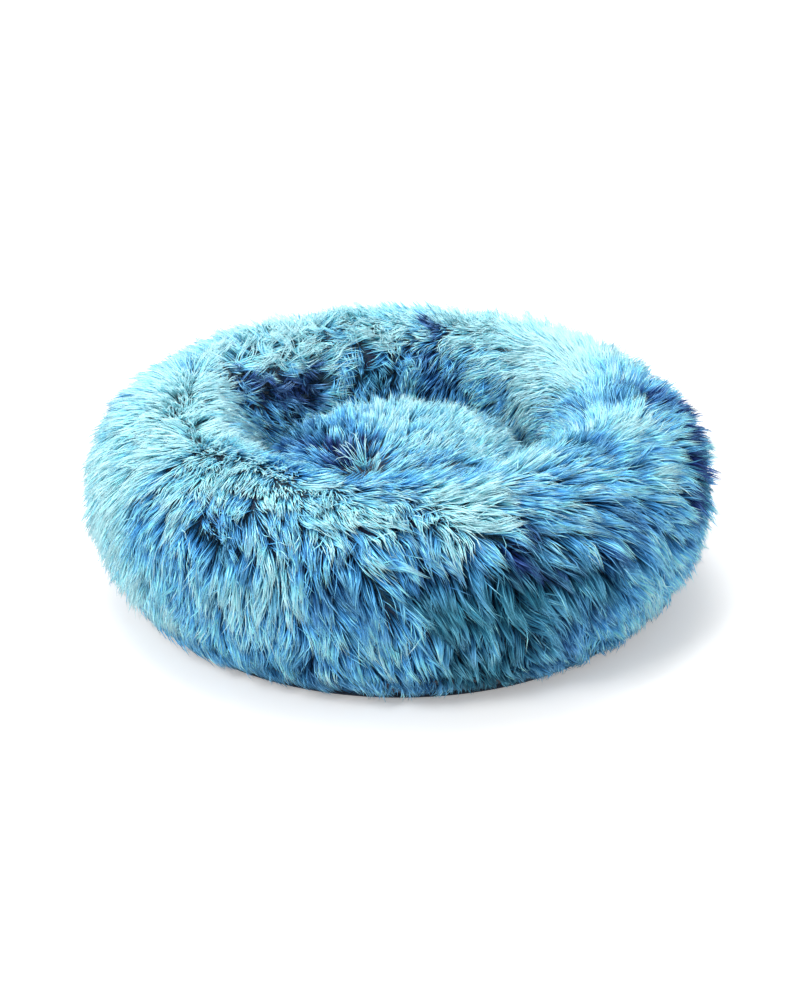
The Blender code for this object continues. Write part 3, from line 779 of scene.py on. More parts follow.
def lay_out(mesh, cell_uv, order, count):
    """A map with a cell for each strand, root to tip up the cell, so that a picture can hold each one's colours."""
    columns = math.ceil(math.sqrt(count * 3.4))
    rows = math.ceil(count / columns)
    rank = np.empty(count, dtype=int)
    rank[order] = np.arange(count)
    cell = np.stack([rank % columns, rank // columns], axis=1)
    inset = 0.05
    local = inset + cell_uv * (1.0 - 2 * inset)
    uv = (cell[:, None] + local[None]) / np.array([columns, rows])
    layer = mesh.uv_layers.new(name="OFBake")
    layer.data.foreach_set("uv", uv.astype(np.float32).ravel())


def make_pile(name, locks, count, seed, look):
    """One round of pile. Look gives its length, height, width and clumping."""
    rng = np.random.default_rng(seed)
    ground, flow = locks.ground, locks.flow
    across, along = ground.scattered(count, rng, locks.density)
    root_depth = look["depth"]
    places = ground.place(across, along, root_depth)
    lock = locks.nearest(ground.place(across, along, LOCK_DEPTH))
    steps_count = look["steps"]
    own = rng.normal(0.0, 1.0, (count, 3))
    stray = rng.random(count) < look["stray"]
    loft, tangle = look["ways"](across, along, places)
    length = look["length"] * locks.length[lock] * (1.0 + LENGTH_SPREAD * own[:, 0])
    height = look["height"] * locks.height[lock] * (1.0 + HEIGHT_SPREAD * own[:, 1])
    length = length * (1.0 - 0.30 * loft - 0.25 * tangle)
    clump = look["clump"] * locks.clump[lock]
    length, height, clump = look["trim"](across, along, length, height, clump)
    height = np.minimum(height + 0.24 * loft * length, root_depth + PROUD)
    share = np.linspace(0.0, 1.0, steps_count + 1)
    step = length[:, None] / steps_count
    levels = height[:, None] * share ** look["rise"]
    runs = list(np.sqrt(np.maximum(step**2 - np.diff(levels, axis=1) ** 2, (0.35 * step) ** 2)).T)
    lock_turn = locks.turn[lock] + tangle * 2.6 * locks.tone[lock]
    turn = lock_turn + TURN_SPREAD * own[:, 2] + np.where(stray, rng.normal(0.0, 0.5, count), 0.0)
    turn = turn + loft * rng.normal(0.0, 0.30, count)
    bend = locks.bend[lock] + tangle * 5.0 * (locks.bleach[lock] - 0.5)
    lock_path = paths(ground, flow, locks.across[lock], locks.along[lock], lock_turn, bend, runs)
    own_path = paths(ground, flow, across, along, turn, bend, runs)
    clump = np.where(stray, 0.15, np.clip(clump, 0.0, 0.93))
    period = math.tau * CREST_RADIUS
    centres = []
    for k, (lock_place, own_place) in enumerate(zip(lock_path, own_path)):
        draw = clump * share[k] ** 0.9
        side_gap, gap = lock_place[0] - own_place[0], lock_place[1] - own_place[1]
        if ground is BOLSTER:
            side_gap = (side_gap + period / 2) % period - period / 2
        here = look["bounds"](own_place[0] + draw * side_gap, own_place[1] + draw * gap)
        centres.append(ground.place(*here, root_depth - levels[:, k]))
    centres = np.stack(centres, axis=1) + rng.normal(0.0, 0.0005, (count, steps_count + 1, 3)) * share[None, :, None]
    centres[:, :, 2] = np.maximum(centres[:, :, 2], LOWEST)
    outward = centres - ground.place(across, along, root_depth + 0.010)[:, None]
    sides = np.cross(outward, np.gradient(centres, axis=1))
    widths = look["width"] / 2 * np.interp(share, *TAPER)[None, :] * np.exp(0.22 * rng.normal(size=(count, 1)))
    widths = widths * np.clip(length / 0.018, 0.45, 1.0)[:, None]
    # Painted light where the pile fans out and along the parting: loft raises the tone and the bleach and fades the
    # painted root shade. The rest of tone and bleach differs at random.
    tone = 0.70 * rng.normal(size=count).clip(-1.6, 2.2) + 0.62 * locks.tone[lock].clip(-2.0, 2.0) + 0.7 * loft
    values = {
        "tone": tone,
        "bleach": np.clip(0.70 * locks.bleach[lock] + 0.30 * rng.random(count) + 0.25 * loft, 0.0, 1.0),
        "fade": 0.45 * loft,
        "root": centres[:, -2],
        "dye": look["dye"](centres[:, -2]),
        "order": np.lexsort((across, np.floor(along * 40))),
    }
    return strand_mesh(name, centres, sides, widths, values)


def dyed(places, pale, deep, navy):
    """The dye at these places, with the shade that some splashes paint: how pale, from 0 to 1, how navy, and how green.
    """
    level = 0.5 + 0.75 * splash(places, pale) - 0.70 * splash(places, deep)
    return np.stack([level, splash(places, navy), 0.5 + 0.5 * WIDE_DRIFT(places)], axis=1)


def bolster_dye_and_shade(places):
    return dyed(places, *map(bolster_centres, (PALE_SPLASHES, DEEP_DYE_AND_SHADE_SPLASHES, NAVY_DYE_AND_SHADE_SPLASHES)))


def cushion_dye(places):
    return dyed(places, *map(cushion_centres, (CUSHION_PALE, CUSHION_DEEP, CUSHION_NAVY)))


def bolster_ways(across, along, places):
    """How far the pile stands up, and how tangled it is."""
    return near_crown(across, along), splash(places, bolster_centres(TANGLES))


def cushion_ways(across, along, places):
    """The same on the cushion, whose pile stands up where it fans out from."""
    loft = np.exp(-((np.hypot(across - CUSHION_FAN[0], along - CUSHION_FAN[1]) / 0.014) ** 2))
    return loft, np.zeros_like(loft)


def over_zip(across):
    """1 over the zip, where the pile is clipped so that it doesn't catch, and 0 elsewhere."""
    theta = (across / CREST_RADIUS) % math.tau
    return smooth_step(ZIP_START - 0.13, ZIP_START - 0.055, theta) * (
        1.0 - smooth_step(ZIP_END + 0.02, ZIP_END + 0.10, theta)
    )


def bolster_trim(across, along, length, height, clump):
    """Shortens the pile towards the hem, over the crest, down its inner side and over the zip, lowers it towards the
    hem, at the back and in the calm places, and lets it stand up more in the well.
    """
    crest = smooth_step(BOLSTER.along_of(35.0), BOLSTER.along_of(85.0), along)
    inside = smooth_step(BOLSTER.along_of(90.0), BOLSTER.along_of(135.0), along)
    behind = smooth_step(-0.15, 0.45, np.sin(across / CREST_RADIUS)) * crest
    length = length * (1.0 - 0.10 * crest - 0.10 * inside)
    calmness = calm(across, along)
    height = np.minimum(height, (0.66 - 0.06 * crest - 0.06 * behind) * length) * (1.0 - 0.30 * calmness)
    clump = clump * (1.0 - 0.28 * crest) * (1.0 - 0.35 * behind) * (1.0 - 0.45 * calmness)
    hem = smooth_step(0.0, 0.050, along - HEM)
    length = np.minimum(length, along * (0.94 + 0.20 * hem) + 0.006)
    height = height * (0.50 + 0.50 * hem)
    to_zip = np.maximum(along - HEM, 0.0) * 1.02 + 0.0035
    by_zip = over_zip(across)
    length = length * (1.0 - by_zip) + np.minimum(length, to_zip) * by_zip
    in_well = smooth_step(BOLSTER.along_of(128.0), BOLSTER.along_of(172.0), along)
    return length * (1.0 - 0.16 * in_well), height * (1.0 + 0.22 * in_well), clump


def hem_trim(across, along, length, height, clump):
    """Lets the hem's pile just reach the floor, and clips it over the zip."""
    return np.minimum(length, along * 1.20 + 0.012) * (1.0 - 0.86 * over_zip(across)), height, clump


def bolster_bounds(across, along):
    """Keeps a place on the ground."""
    return across, np.clip(along, 0.002, BOLSTER.length - 0.002)


def cushion_trim(across, along, length, height, clump):
    """Lets the pile just cover the seam, and stand up more beside it."""
    distance = np.hypot(across, along)
    edge = smooth_step(0.112, 0.150, distance)
    return np.minimum(length, CUSHION.length - distance + 0.016), height * (1.0 + 0.30 * edge), clump


def cushion_bounds(across, along):
    distance = np.maximum(np.hypot(across, along), 1e-6)
    share = np.minimum(1.0, (CUSHION.length + CUSHION_OVERHANG - 0.001) / distance)
    return across * share, along * share


def pile_look(pile, **changes):
    """How the bolster's long pile is made, with the changes for other pile."""
    look = {
        "depth": BOLSTER_ROOTS,
        "steps": 3,
        "length": pile.length,
        "height": pile.height,
        "width": pile.width,
        "clump": pile.clumping,
        "stray": 0.05,
        "rise": 1.05,
        "trim": bolster_trim,
        "bounds": bolster_bounds,
        "ways": bolster_ways,
        "dye": bolster_dye_and_shade,
    }
    return {**look, **changes}


def dress(piece, finish, body, slot, *nodes):
    """Gives a piece its finish and its body, and lets it stand in for the nodes. The slot is not used."""
    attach(finish.on(piece), body)
    if nodes:
        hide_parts(*nodes)


def pile_finish(dye, name, brightness):
    """Fibre dyed in splashes and bleached at its tip, with painted shade that darkens and blues it towards its root."""
    finish = Finish(name, roughness=0.55, specular_ior_level=0.05)
    along = finish.attribute("along")
    tone = finish.attribute("tone")
    root = finish.attribute("root", "Vector")
    level, navy, green = finish.parts(finish.attribute("dye", "Vector"))
    blot = finish.noise(root, 32.0, 3.0, 0.6) - 0.5
    blot_small = finish.noise(root, 130.0, 2.0, 0.6) - 0.5
    wander = blot * 0.75 + blot_small * 0.45
    level = level + wander
    navy_share = (navy + wander * 0.8).smooth(0.30, 0.75)
    deepest = finish.mix((green + blot).smooth(0.35, 0.75), dye.denim, dye.teal)
    colour = finish.mix(level.smooth(0.02, 0.50), deepest, dye.sky)
    colour = finish.mix(level.smooth(0.52, 0.98), colour, dye.ice)
    colour = finish.mix(level.smooth(1.0, 1.8) * 0.7, colour, dye.tip)
    colour = finish.mix(navy_share, colour, dye.navy)
    bleach = finish.attribute("bleach") ** 1.6 * dye.bleach * along.smooth(0.35, 0.95)
    bleach = bleach * (0.34 + level.smooth(0.0, 0.8) * 0.66) * (1.0 - navy_share * 0.8)
    # Painted shade deep in the pile: the light falls towards the root, least where the dye is pale, and painted light
    # raises it where the dye is pale. The gamma and the mix into navy and sky deepen and blue the colour towards the
    # root, also painted shade.
    root_light = dye.root + level.smooth(0.35, 1.1) * 0.50
    light = root_light + (1.0 - root_light) * along.smooth(0.0, 0.75)
    light = light * (1.23 + tone * 0.36 + level.smooth(0.7, 1.7) * 0.36) * brightness
    contrast = 1.40 - along.smooth(0.1, 0.85) * 0.45 - tone * 0.20
    colour = finish.node("ShaderNodeGamma", {"Color": colour, "Gamma": contrast})
    colour = finish.mix((1.0 - along) * 0.28, colour, finish.mix(level.smooth(0.1, 0.9), dye.navy, dye.sky))
    colour = finish.mix(bleach, colour, finish.mix(level.smooth(0.0, 0.8), dye.ice, dye.tip))
    lit = finish.dimmed(colour, light)
    finish.feed("Base Color", finish.node("ShaderNodeVectorMath", {0: lit, 1: PALEST}, operation="MINIMUM"))
    return finish


# Operators


class PETBED_OT_bolster_pile(bpy.types.Operator):
    """Covers the bolster with long locks of dyed pile over short wool"""

    bl_idname = "pet_bed.bolster_pile"
    bl_label = "Bolster pile"

    def execute(self, context):
        pile, dye = context.scene.pet_bed_pile, context.scene.pet_bed_dye
        finish = pile_finish(dye, "long pile", 1.0)
        wool_finish = pile_finish(dye, "short wool", 0.70)

        def density(along):
            in_well = smooth_step(BOLSTER.along_of(150.0), BOLSTER.along_of(180.0) + 0.02, along)
            return 1.0 - THINNED * in_well

        locks = Locks(BOLSTER, bolster_flow, int(BOLSTER_AREA / pile.lock_spacing**2), SEEDS["locks"], density)
        short = {"length": pile.length * 0.55, "height": pile.height * 0.55, "stray": 0.0, "clump": 0.3, "steps": 2}
        for kind, made, rounds, changes in (
            ("pile", finish, pile.layers, {}),
            ("wool", wool_finish, pile.wool_layers, short),
        ):
            look = pile_look(pile, **changes)
            for number in range(rounds):
                piece = make_pile(f"bolster_{kind}_{number + 1}", locks, pile.strands, SEEDS[kind] + number, look)
                dress(piece, made, "cover", "fur_pile")
        return {"FINISHED"}


class PETBED_OT_hem_fringe(bpy.types.Operator):
    """Hangs short pile from the hem of the bolster's fur down to the floor"""

    bl_idname = "pet_bed.hem_fringe"
    bl_label = "Hem fringe"

    def execute(self, context):
        pile, dye = context.scene.pet_bed_pile, context.scene.pet_bed_dye
        # The hem's pile is dimmed to 0.72: painted shade low on the bed
        finish = pile_finish(dye, "hem pile in painted shade", 0.72)

        def density(along):
            return 1.0 - smooth_step(HEM + 0.006, HEM + 0.020, along)

        locks = Locks(BOLSTER, bolster_flow, HEM_LOCKS, SEEDS["hem locks"], density)
        changes = {"height": 0.0180, "width": pile.width * 1.1, "clump": 0.6, "stray": 0.03, "rise": 0.6}
        look = pile_look(pile, trim=hem_trim, **changes)
        dress(make_pile("hem_fringe", locks, HEM_STRANDS, SEEDS["hem"], look), finish, "cover", "fur_pile")
        return {"FINISHED"}


class PETBED_OT_cushion_pile(bpy.types.Operator):
    """Covers the centre cushion with the same pile"""

    bl_idname = "pet_bed.cushion_pile"
    bl_label = "Cushion pile"

    def execute(self, context):
        pile, dye = context.scene.pet_bed_pile, context.scene.pet_bed_dye
        finish = pile_finish(dye, "cushion pile", 0.93)

        def density(distance):
            return 1.0 - THINNED * smooth_step(0.145, 0.165, distance)

        count = int(CUSHION_AREA / pile.lock_spacing**2)
        locks = Locks(CUSHION, cushion_flow, count, SEEDS["cushion locks"], density)
        look = pile_look(
            pile,
            depth=CUSHION_ROOTS,
            length=pile.length * 0.62,
            height=pile.height * 0.72,
            width=pile.width * 0.9,
            clump=pile.clumping * 0.7,
            stray=0.06,
            trim=cushion_trim,
            bounds=cushion_bounds,
            ways=cushion_ways,
            dye=cushion_dye,
        )
        piece = make_pile("cushion_pile", locks, pile.strands, SEEDS["cushion"], look)
        dress(piece, finish, "cushion", "fur_pile")
        return {"FINISHED"}


class PETBED_OT_loose_fibres(bpy.types.Operator):
    """Fans a few long loose fibres out over the cushion's dark patch"""

    bl_idname = "pet_bed.loose_fibres"
    bl_label = "Loose fibres"

    def execute(self, context):
        pile, dye = context.scene.pet_bed_pile, context.scene.pet_bed_dye
        rng = np.random.default_rng(SEEDS["loose"])
        count, steps = LOOSE_FIBRES, 5
        turn = np.linspace(math.radians(84.0), math.radians(186.0), count) + rng.normal(0.0, 0.07, count)
        length = rng.uniform(0.024, 0.044, count)
        share = np.linspace(0.0, 1.0, steps + 1)
        swerve = turn[:, None] + rng.normal(0.0, 0.30, (count, 1)) * share[None]
        away = length[:, None] * share[None] * (1.0 - 0.18 * share[None])
        across = CUSHION_FAN[0] + 0.003 * rng.normal(size=(count, 1)) + away * np.cos(swerve)
        along = CUSHION_FAN[1] + 0.002 * rng.normal(size=(count, 1)) + away * np.sin(swerve)
        rise = CUSHION_ROOTS - rng.uniform(0.018, 0.026, (count, 1)) * np.sin(share[None] * 1.9)
        centres = CUSHION.place(across.ravel(), along.ravel(), rise.ravel()).reshape(count, steps + 1, 3)
        sides = np.cross(centres - CUSHION.place(*CUSHION_FAN, 0.030), np.gradient(centres, axis=1))
        widths = np.tile(pile.width * 0.42 * np.interp(share, (0.0, 0.8, 1.0), (1.0, 0.7, 0.0)), (count, 1))
        values = {
            "tone": np.full(count, 0.9),
            "bleach": np.full(count, 1.0),
            "fade": np.zeros(count),
            "root": centres[:, 0],
            "dye": np.tile((1.1, 0.0, 0.5), (count, 1)),
            "order": np.arange(count),
        }
        piece = strand_mesh("loose_fibres", centres, sides, widths, values)
        dress(piece, pile_finish(dye, "loose fibre", 1.1), "cushion", "fur_pile")
        return {"FINISHED"}


# Cloth, stuffing and zip


def piece_of(name, mesh):
    mesh.update()
    mesh.shade_smooth()
    mesh.set_sharp_from_angle(angle=math.radians(50.0))
    return linked(name, mesh)


def band_mesh(name, loops, closed=True):
    """Joins closed loops of points, which are (station, point, xyz). An open band gets a cap at each end."""
    stations, points, _ = loops.shape
    here = np.arange(stations * points).reshape(stations, points)
    first, after = (here, np.roll(here, -1, axis=0)) if closed else (here[:-1], here[1:])
    quads = np.stack([first, np.roll(first, -1, axis=1), np.roll(after, -1, axis=1), after], axis=-1)
    faces = quads.reshape(-1, 4).tolist()
    if not closed:
        faces += [here[0][::-1].tolist(), here[-1].tolist()]
    bm = bmesh.new()
    corners = [bm.verts.new(point) for point in loops.reshape(-1, 3).tolist()]
    for face in faces:
        bm.faces.new([corners[i] for i in face])
    bmesh.ops.remove_doubles(bm, verts=bm.verts, dist=1e-6)
    bmesh.ops.recalc_face_normals(bm, faces=bm.faces)
    mesh = bpy.data.meshes.new(name)
    bm.to_mesh(mesh)
    bm.free()
    return piece_of(name, mesh)


def turned_loops(profile, angles):
    """A (radius, height) profile at each of the angles round the bed."""
    profile = np.asarray(profile)
    cos, sin = np.cos(angles)[:, None], np.sin(angles)[:, None]
    return np.stack([profile[:, 0] * cos, profile[:, 0] * sin, np.repeat(profile[None, :, 1], len(angles), 0)], axis=-1)


def bolster_wall(theta, along, depth):
    """The bolster's surface at this depth, as (station, point, xyz)."""
    across = np.repeat(theta * CREST_RADIUS, len(along))
    return BOLSTER.place(across, np.tile(along, len(theta)), depth).reshape(len(theta), len(along), 3)


def cushion_cap(theta, distance, depth):
    """The cushion's surface at this depth, or at a depth for each distance."""
    across, up = np.outer(np.cos(theta), distance).ravel(), np.outer(np.sin(theta), distance).ravel()
    depth = np.tile(np.broadcast_to(depth, distance.shape), len(theta))
    return CUSHION.place(across, up, depth).reshape(len(theta), len(distance), 3)


def all_round(count):
    return np.linspace(0.0, math.tau, count + 1)[:-1]


def two_walls(outer, inner):
    """A thin closed section from two walls of points, (station, point, xyz)."""
    return np.concatenate([outer, inner[:, ::-1]], axis=1)


def section_at(alpha, depth):
    """(radius, height) on the lower outer side."""
    outside = CREST_RADIUS + (BED_RADIUS - CREST_RADIUS) * math.cos(alpha)
    return outside - depth, BULGE_HEIGHT + LOWER_SWELL * math.sin(alpha)


def lower_wall(low, high, depth, steps):
    return [section_at(alpha, depth) for alpha in np.linspace(alpha_at(low), alpha_at(high), steps)]


def woven(name, colour, pitch, roughness, fade=0.25):
    """Plain woven cloth whose threads run round the bed and up its side."""
    finish = Finish(name, roughness=roughness, specular_ior_level=0.3, sheen_weight=0.25, sheen_roughness=0.5)
    turn, out, height = finish.round_axis()
    threads = math.tau / pitch
    weave = (turn * (0.25 * threads)).sine() * ((out + height) * threads).sine()
    slub = finish.grain(900.0, 2.0)
    worn = finish.grain(24.0, 3.0).smooth(0.35, 0.75)
    shade = 0.82 + weave * 0.16 + (slub - 0.5) * 0.35 + worn * fade
    finish.paint(colour, shade)
    finish.feed("Roughness", roughness + (slub - 0.5) * 0.2)
    finish.bump(weave + slub * 0.6, 0.00012)
    return finish


def stuffing_finish(name):
    """Loose white fibre."""
    finish = Finish(name, roughness=0.95, sheen_weight=0.3)
    tuft = finish.grain(90.0, 5.0, 0.7)
    curl = finish.grain(420.0, 3.0, 0.7)
    finish.paint((0.90, 0.90, 0.88), 0.72 + tuft * 0.38 + (curl - 0.5) * 0.2)
    finish.bump(tuft + curl * 0.4, 0.003)
    return finish


def knit_finish(dye):
    """The pile's ground: knitted loops in navy and teal, dimmed to about a third."""
    finish = Finish("knitted ground", roughness=0.95, sheen_weight=0.3)
    turn, out, height = finish.round_axis()
    loops = (turn * 700.0).sine() * ((height + out) * 2400.0).sine()
    blot = finish.grain(30.0, 3.0, 0.6)
    colour = finish.mix(blot.smooth(0.35, 0.65), dye.navy, dye.teal)
    finish.paint(colour, 0.30 + loops * 0.08)
    finish.bump(loops, 0.0003)
    return finish


class PETBED_OT_ground(bpy.types.Operator):
    """Makes the knitted grounds that the pile stands on"""

    bl_idname = "pet_bed.ground"
    bl_label = "Knitted ground"

    def execute(self, context):
        finish = knit_finish(context.scene.pet_bed_dye)
        along = np.linspace(HEM, BOLSTER.length, 46)
        walls = [bolster_wall(all_round(192), along, BOLSTER_ROOTS + depth) for depth in KNIT]
        piece = band_mesh("bolster_ground", two_walls(*walls))
        dress(piece, finish, "cover", "fur_pile", *[f"bolster_fur_panel_{i}" for i in range(1, 10)])
        distance = np.linspace(0.0, CUSHION.length, 32)
        walls = [cushion_cap(all_round(96), distance, CUSHION_ROOTS + depth) for depth in KNIT]
        piece = band_mesh("cushion_ground", two_walls(*walls))
        dress(piece, finish, "cushion", "fur_pile", "cushion_fur_top")
        return {"FINISHED"}


class PETBED_OT_base(bpy.types.Operator):
    """Makes the sturdy base, its upturned border, the band above it and the floor of the well"""

    bl_idname = "pet_bed.base"
    bl_label = "Base"

    def execute(self, context):
        cloth = context.scene.pet_bed_cloth
        finish = woven("coated base cloth", cloth.base, cloth.base_pitch, 0.72)
        rim = BASE_RADIUS + 0.0012
        profile = [(0.0, 0.0004)]
        for share in np.linspace(0.1, 1.0, 22):
            dent = 0.0006 * math.sin(share * math.pi * 7) * (1.0 - share)
            profile.append((BASE_RADIUS * share, max(0.0, 0.0003 + dent * 0.4) if share < 0.93 else 0.0))
        profile += [(rim, 0.0008), (rim + 0.0004, 0.0016), (rim - 0.0002, 0.0026)]
        profile += [(BASE_RADIUS * share, BASE_THICKNESS) for share in np.linspace(0.995, 0.05, 16)]
        profile += [(0.0, BASE_THICKNESS)]
        sole = band_mesh("base_sole", turned_loops(profile, all_round(180)))
        dress(sole, finish, "cover", "base_cloth", "base_cloth")
        border = self.strip("base_upturn", BASE_TOP, BORDER_TOP, all_round(240), True)
        dress(border, finish, "cover", "base_cloth", "base_border")
        round_front = np.linspace(ZIP_END + 0.0012, ZIP_START + math.tau - 0.0012, 200)
        facing = self.strip("band_facing", BORDER_TOP + 0.0003, FUR_HEM - 0.0003, round_front, False)
        dress(facing, finish, "cover", "base_cloth", "front_facing")
        lining = woven("well lining", cloth.lining, cloth.base_pitch, 0.85)
        profile = [(0.0, BASE_TOP), (0.05, BASE_TOP), (0.1268, BASE_TOP), (0.1278, BASE_TOP + 0.0008)]
        profile += [(0.1268, WELL_FLOOR_TOP)] + [(r, WELL_FLOOR_TOP) for r in (0.11, 0.09, 0.06, 0.03, 0.0)]
        floor = band_mesh("well_lining", turned_loops(profile, all_round(120)))
        dress(floor, lining, "cover", "lining", "well_floor")
        return {"FINISHED"}

    @staticmethod
    def strip(name, low, high, angles, closed):
        """A strip of cloth up the foot of the bolster, with a soft ripple between its seams."""
        depths = (BAND_DEPTH - CLOTH_THICKNESS / 2, BAND_DEPTH + CLOTH_THICKNESS / 2)
        walls = [turned_loops(lower_wall(low, high, depth, 7), angles) for depth in depths]
        belly = np.sin(np.linspace(0.0, math.pi, 7))
        ripple = 0.0005 * np.sin(angles * 61.0) + 0.0004 * np.sin(angles * 23.0 + 1.0) - 0.0002
        swell = (ripple[:, None] * belly[None, :])[:, :, None]
        out = np.stack([np.cos(angles), np.sin(angles), np.zeros(len(angles))], axis=1)[:, None]
        return band_mesh(name, two_walls(*[wall + swell * out for wall in walls]), closed)


def lumpy(points, waves, share):
    """Pushes points along their distance from the Z axis and up by a soft noise."""
    push = waves(points.reshape(-1, 3)).reshape(points.shape[:2])[:, :, None] * share
    size = np.maximum(np.linalg.norm(points[:, :, :2], axis=2, keepdims=True), 1e-6)
    out = np.concatenate([points[:, :, :2] / size, np.zeros_like(size)], axis=2)
    return points + push * out


class PETBED_OT_stuffing(bpy.types.Operator):
    """Makes the inner bag, its ring of fibre, and the cushion's fibre and cloth underside"""

    bl_idname = "pet_bed.stuffing"
    bl_label = "Stuffing"

    def execute(self, context):
        cloth = context.scene.pet_bed_cloth
        bag_finish = woven("inner bag", cloth.bag, 0.0012, 0.9, fade=0.08)
        theta = all_round(144)
        along = np.linspace(0.003, BOLSTER.length - 0.004, 42)
        walls = [self.with_foot(bolster_wall(theta, along, depth), theta, foot) for depth, foot in BAG_FACES]
        bag = band_mesh("bolster_bag", two_walls(*walls))
        dress(bag, bag_finish, "cover", "liner_cloth", "bolster_liner")
        fibre = stuffing_finish("fibre")
        wall = lumpy(bolster_wall(theta, along, FIBRE_DEPTH), Waves(31, 0.020), 0.0014)
        ring = band_mesh("bolster_fibre", self.with_foot(wall, theta, FIBRE_FOOT))
        dress(ring, fibre, "cover", "fibre", "bolster_fill")
        distance = np.linspace(0.0, CUSHION.length - 0.001, 28)
        edge = smooth_step(CUSHION.length - CUSHION_EDGE, CUSHION.length, distance)
        top = cushion_cap(theta, distance, CUSHION_FIBRE_DEPTH + CUSHION_FIBRE_SUNK * edge)
        dish = turned_loops(self.dish(0.0034, CUSHION_FOOT + 0.0022)[1:], theta)
        pad = band_mesh("cushion_fibre", np.concatenate([lumpy(top, Waves(32, 0.020), 0.0012), dish], axis=1))
        dress(pad, fibre, "cushion", "fibre", "cushion_fill")
        finish = woven("cushion underside", cloth.base, cloth.base_pitch, 0.72)
        fine = all_round(200)
        outer = self.puckered(turned_loops(self.dish(0.0, CUSHION_FOOT), fine), fine)
        inner = self.puckered(turned_loops(self.dish(CLOTH_THICKNESS, CUSHION_FOOT + CLOTH_THICKNESS), fine), fine)
        underside = band_mesh("cushion_sole", two_walls(outer, inner))
        dress(underside, finish, "cushion", "base_cloth", "cushion_underside")
        return {"FINISHED"}

    @staticmethod
    def with_foot(wall, theta, level):
        """Closes a wall of the ring across its foot."""
        inner, outer = (np.linalg.norm(wall[:, end, :2], axis=1)[:, None] for end in (-1, 0))
        share = np.linspace(0.0, 1.0, 10)[None, 1:-1]
        radius = inner * (1 - share) + outer * share
        cos, sin = np.cos(theta)[:, None], np.sin(theta)[:, None]
        foot = np.stack([radius * cos, radius * sin, np.full_like(radius, level)], axis=-1)
        wall = wall.copy()
        wall[:, :, 2] = np.maximum(wall[:, :, 2], level)
        return np.concatenate([wall, foot], axis=1)

    @staticmethod
    def dish(depth, bottom):
        """The cushion's lower skin at this depth, from its seam down to the flat foot."""
        radius = CUSHION_RADIUS - depth
        turn = np.linspace(0.0, math.pi / 2, 12)
        across = np.cos(turn).clip(0) ** (2.0 / FOOT_EXPONENT)
        down = np.sin(turn) ** (2.0 / FOOT_EXPONENT)
        seam = CUSHION_SEAM_HEIGHT - 0.0004
        points = list(zip(radius - (CUSHION_FOOT_INSET - depth) * (1.0 - across), seam - (seam - bottom) * down))
        return points + [(r, bottom) for r in (0.08, 0.055, 0.03, 0.0)]

    @staticmethod
    def puckered(points, theta):
        """Draws the cloth into small tucks beside the seam."""
        height = points[:, :, 2]
        near = np.exp(-(((height - CUSHION_SEAM_HEIGHT) / 0.016) ** 2))
        tuck = 0.0016 * np.sin(theta * 67.0) * (0.6 + 0.4 * np.sin(theta * 11.0)) - 0.0014
        size = np.maximum(np.linalg.norm(points[:, :, :2], axis=2), 1e-6)
        change = (tuck[:, None] * near / size)[:, :, None] * points[:, :, :2]
        return np.concatenate([points[:, :, :2] + change, points[:, :, 2:]], axis=2)


# Zip


def band_point(theta, y, z):
    """Points on the band: y up the slope of the cover and z out of the cloth, at the angle theta."""
    low, high = np.array(BAND_LOW), np.array(BAND_HIGH)
    middle, slope = (low + high) / 2, (high - low) / np.linalg.norm(high - low)
    radius = middle[0] + y * slope[0] + z * slope[1]
    level = middle[1] + y * slope[1] - z * slope[0]
    return np.stack(np.broadcast_arrays(radius * np.cos(theta), radius * np.sin(theta), level), axis=-1)


BAND_LOW, BAND_HIGH = (section_at(alpha_at(level), BAND_DEPTH) for level in (BORDER_TOP, FUR_HEM))
BAND_HALF = math.dist(BAND_LOW, BAND_HIGH) / 2
BAND_RADIUS = (BAND_LOW[0] + BAND_HIGH[0]) / 2


def tube(name, path, radius, sides, out):
    """A closed tube along a path of points. Out points away from the path, for its sides to start at."""
    tangent = np.gradient(path, axis=0)
    tangent /= np.linalg.norm(tangent, axis=1)[:, None]
    first = np.cross(tangent, out)
    first /= np.linalg.norm(first, axis=1)[:, None]
    second = np.cross(tangent, first)
    turn = np.arange(sides) * math.tau / sides
    loops = path[:, None] + np.asarray(radius).reshape(-1, 1, 1) * (
        np.cos(turn)[None, :, None] * first[:, None] + np.sin(turn)[None, :, None] * second[:, None]
    )
    return band_mesh(name, loops, closed=False)


def chosen(pieces):
    """Selects just these pieces, the first one active."""
    bpy.ops.object.select_all(action="DESELECT")
    for piece in pieces:
        piece.select_set(True)
    bpy.context.view_layer.objects.active = pieces[0]


def joined(name, pieces):
    """Joins pieces into the first."""
    chosen(pieces)
    bpy.ops.object.join()
    pieces[0].name = pieces[0].data.name = name
    return pieces[0]


def metal_finish():
    """Satin nickel, finely brushed."""
    finish = Finish("satin nickel", metallic=1.0, roughness=0.3)
    brushed = finish.grain(1400.0, 3.0, 0.7)
    cloud = finish.grain(160.0, 2.0)
    finish.paint((0.62, 0.63, 0.64), 0.86 + cloud * 0.2)
    finish.feed("Roughness", 0.24 + (brushed - 0.5) * 0.14 + cloud * 0.08)
    finish.bump(brushed, 0.00002)
    return finish


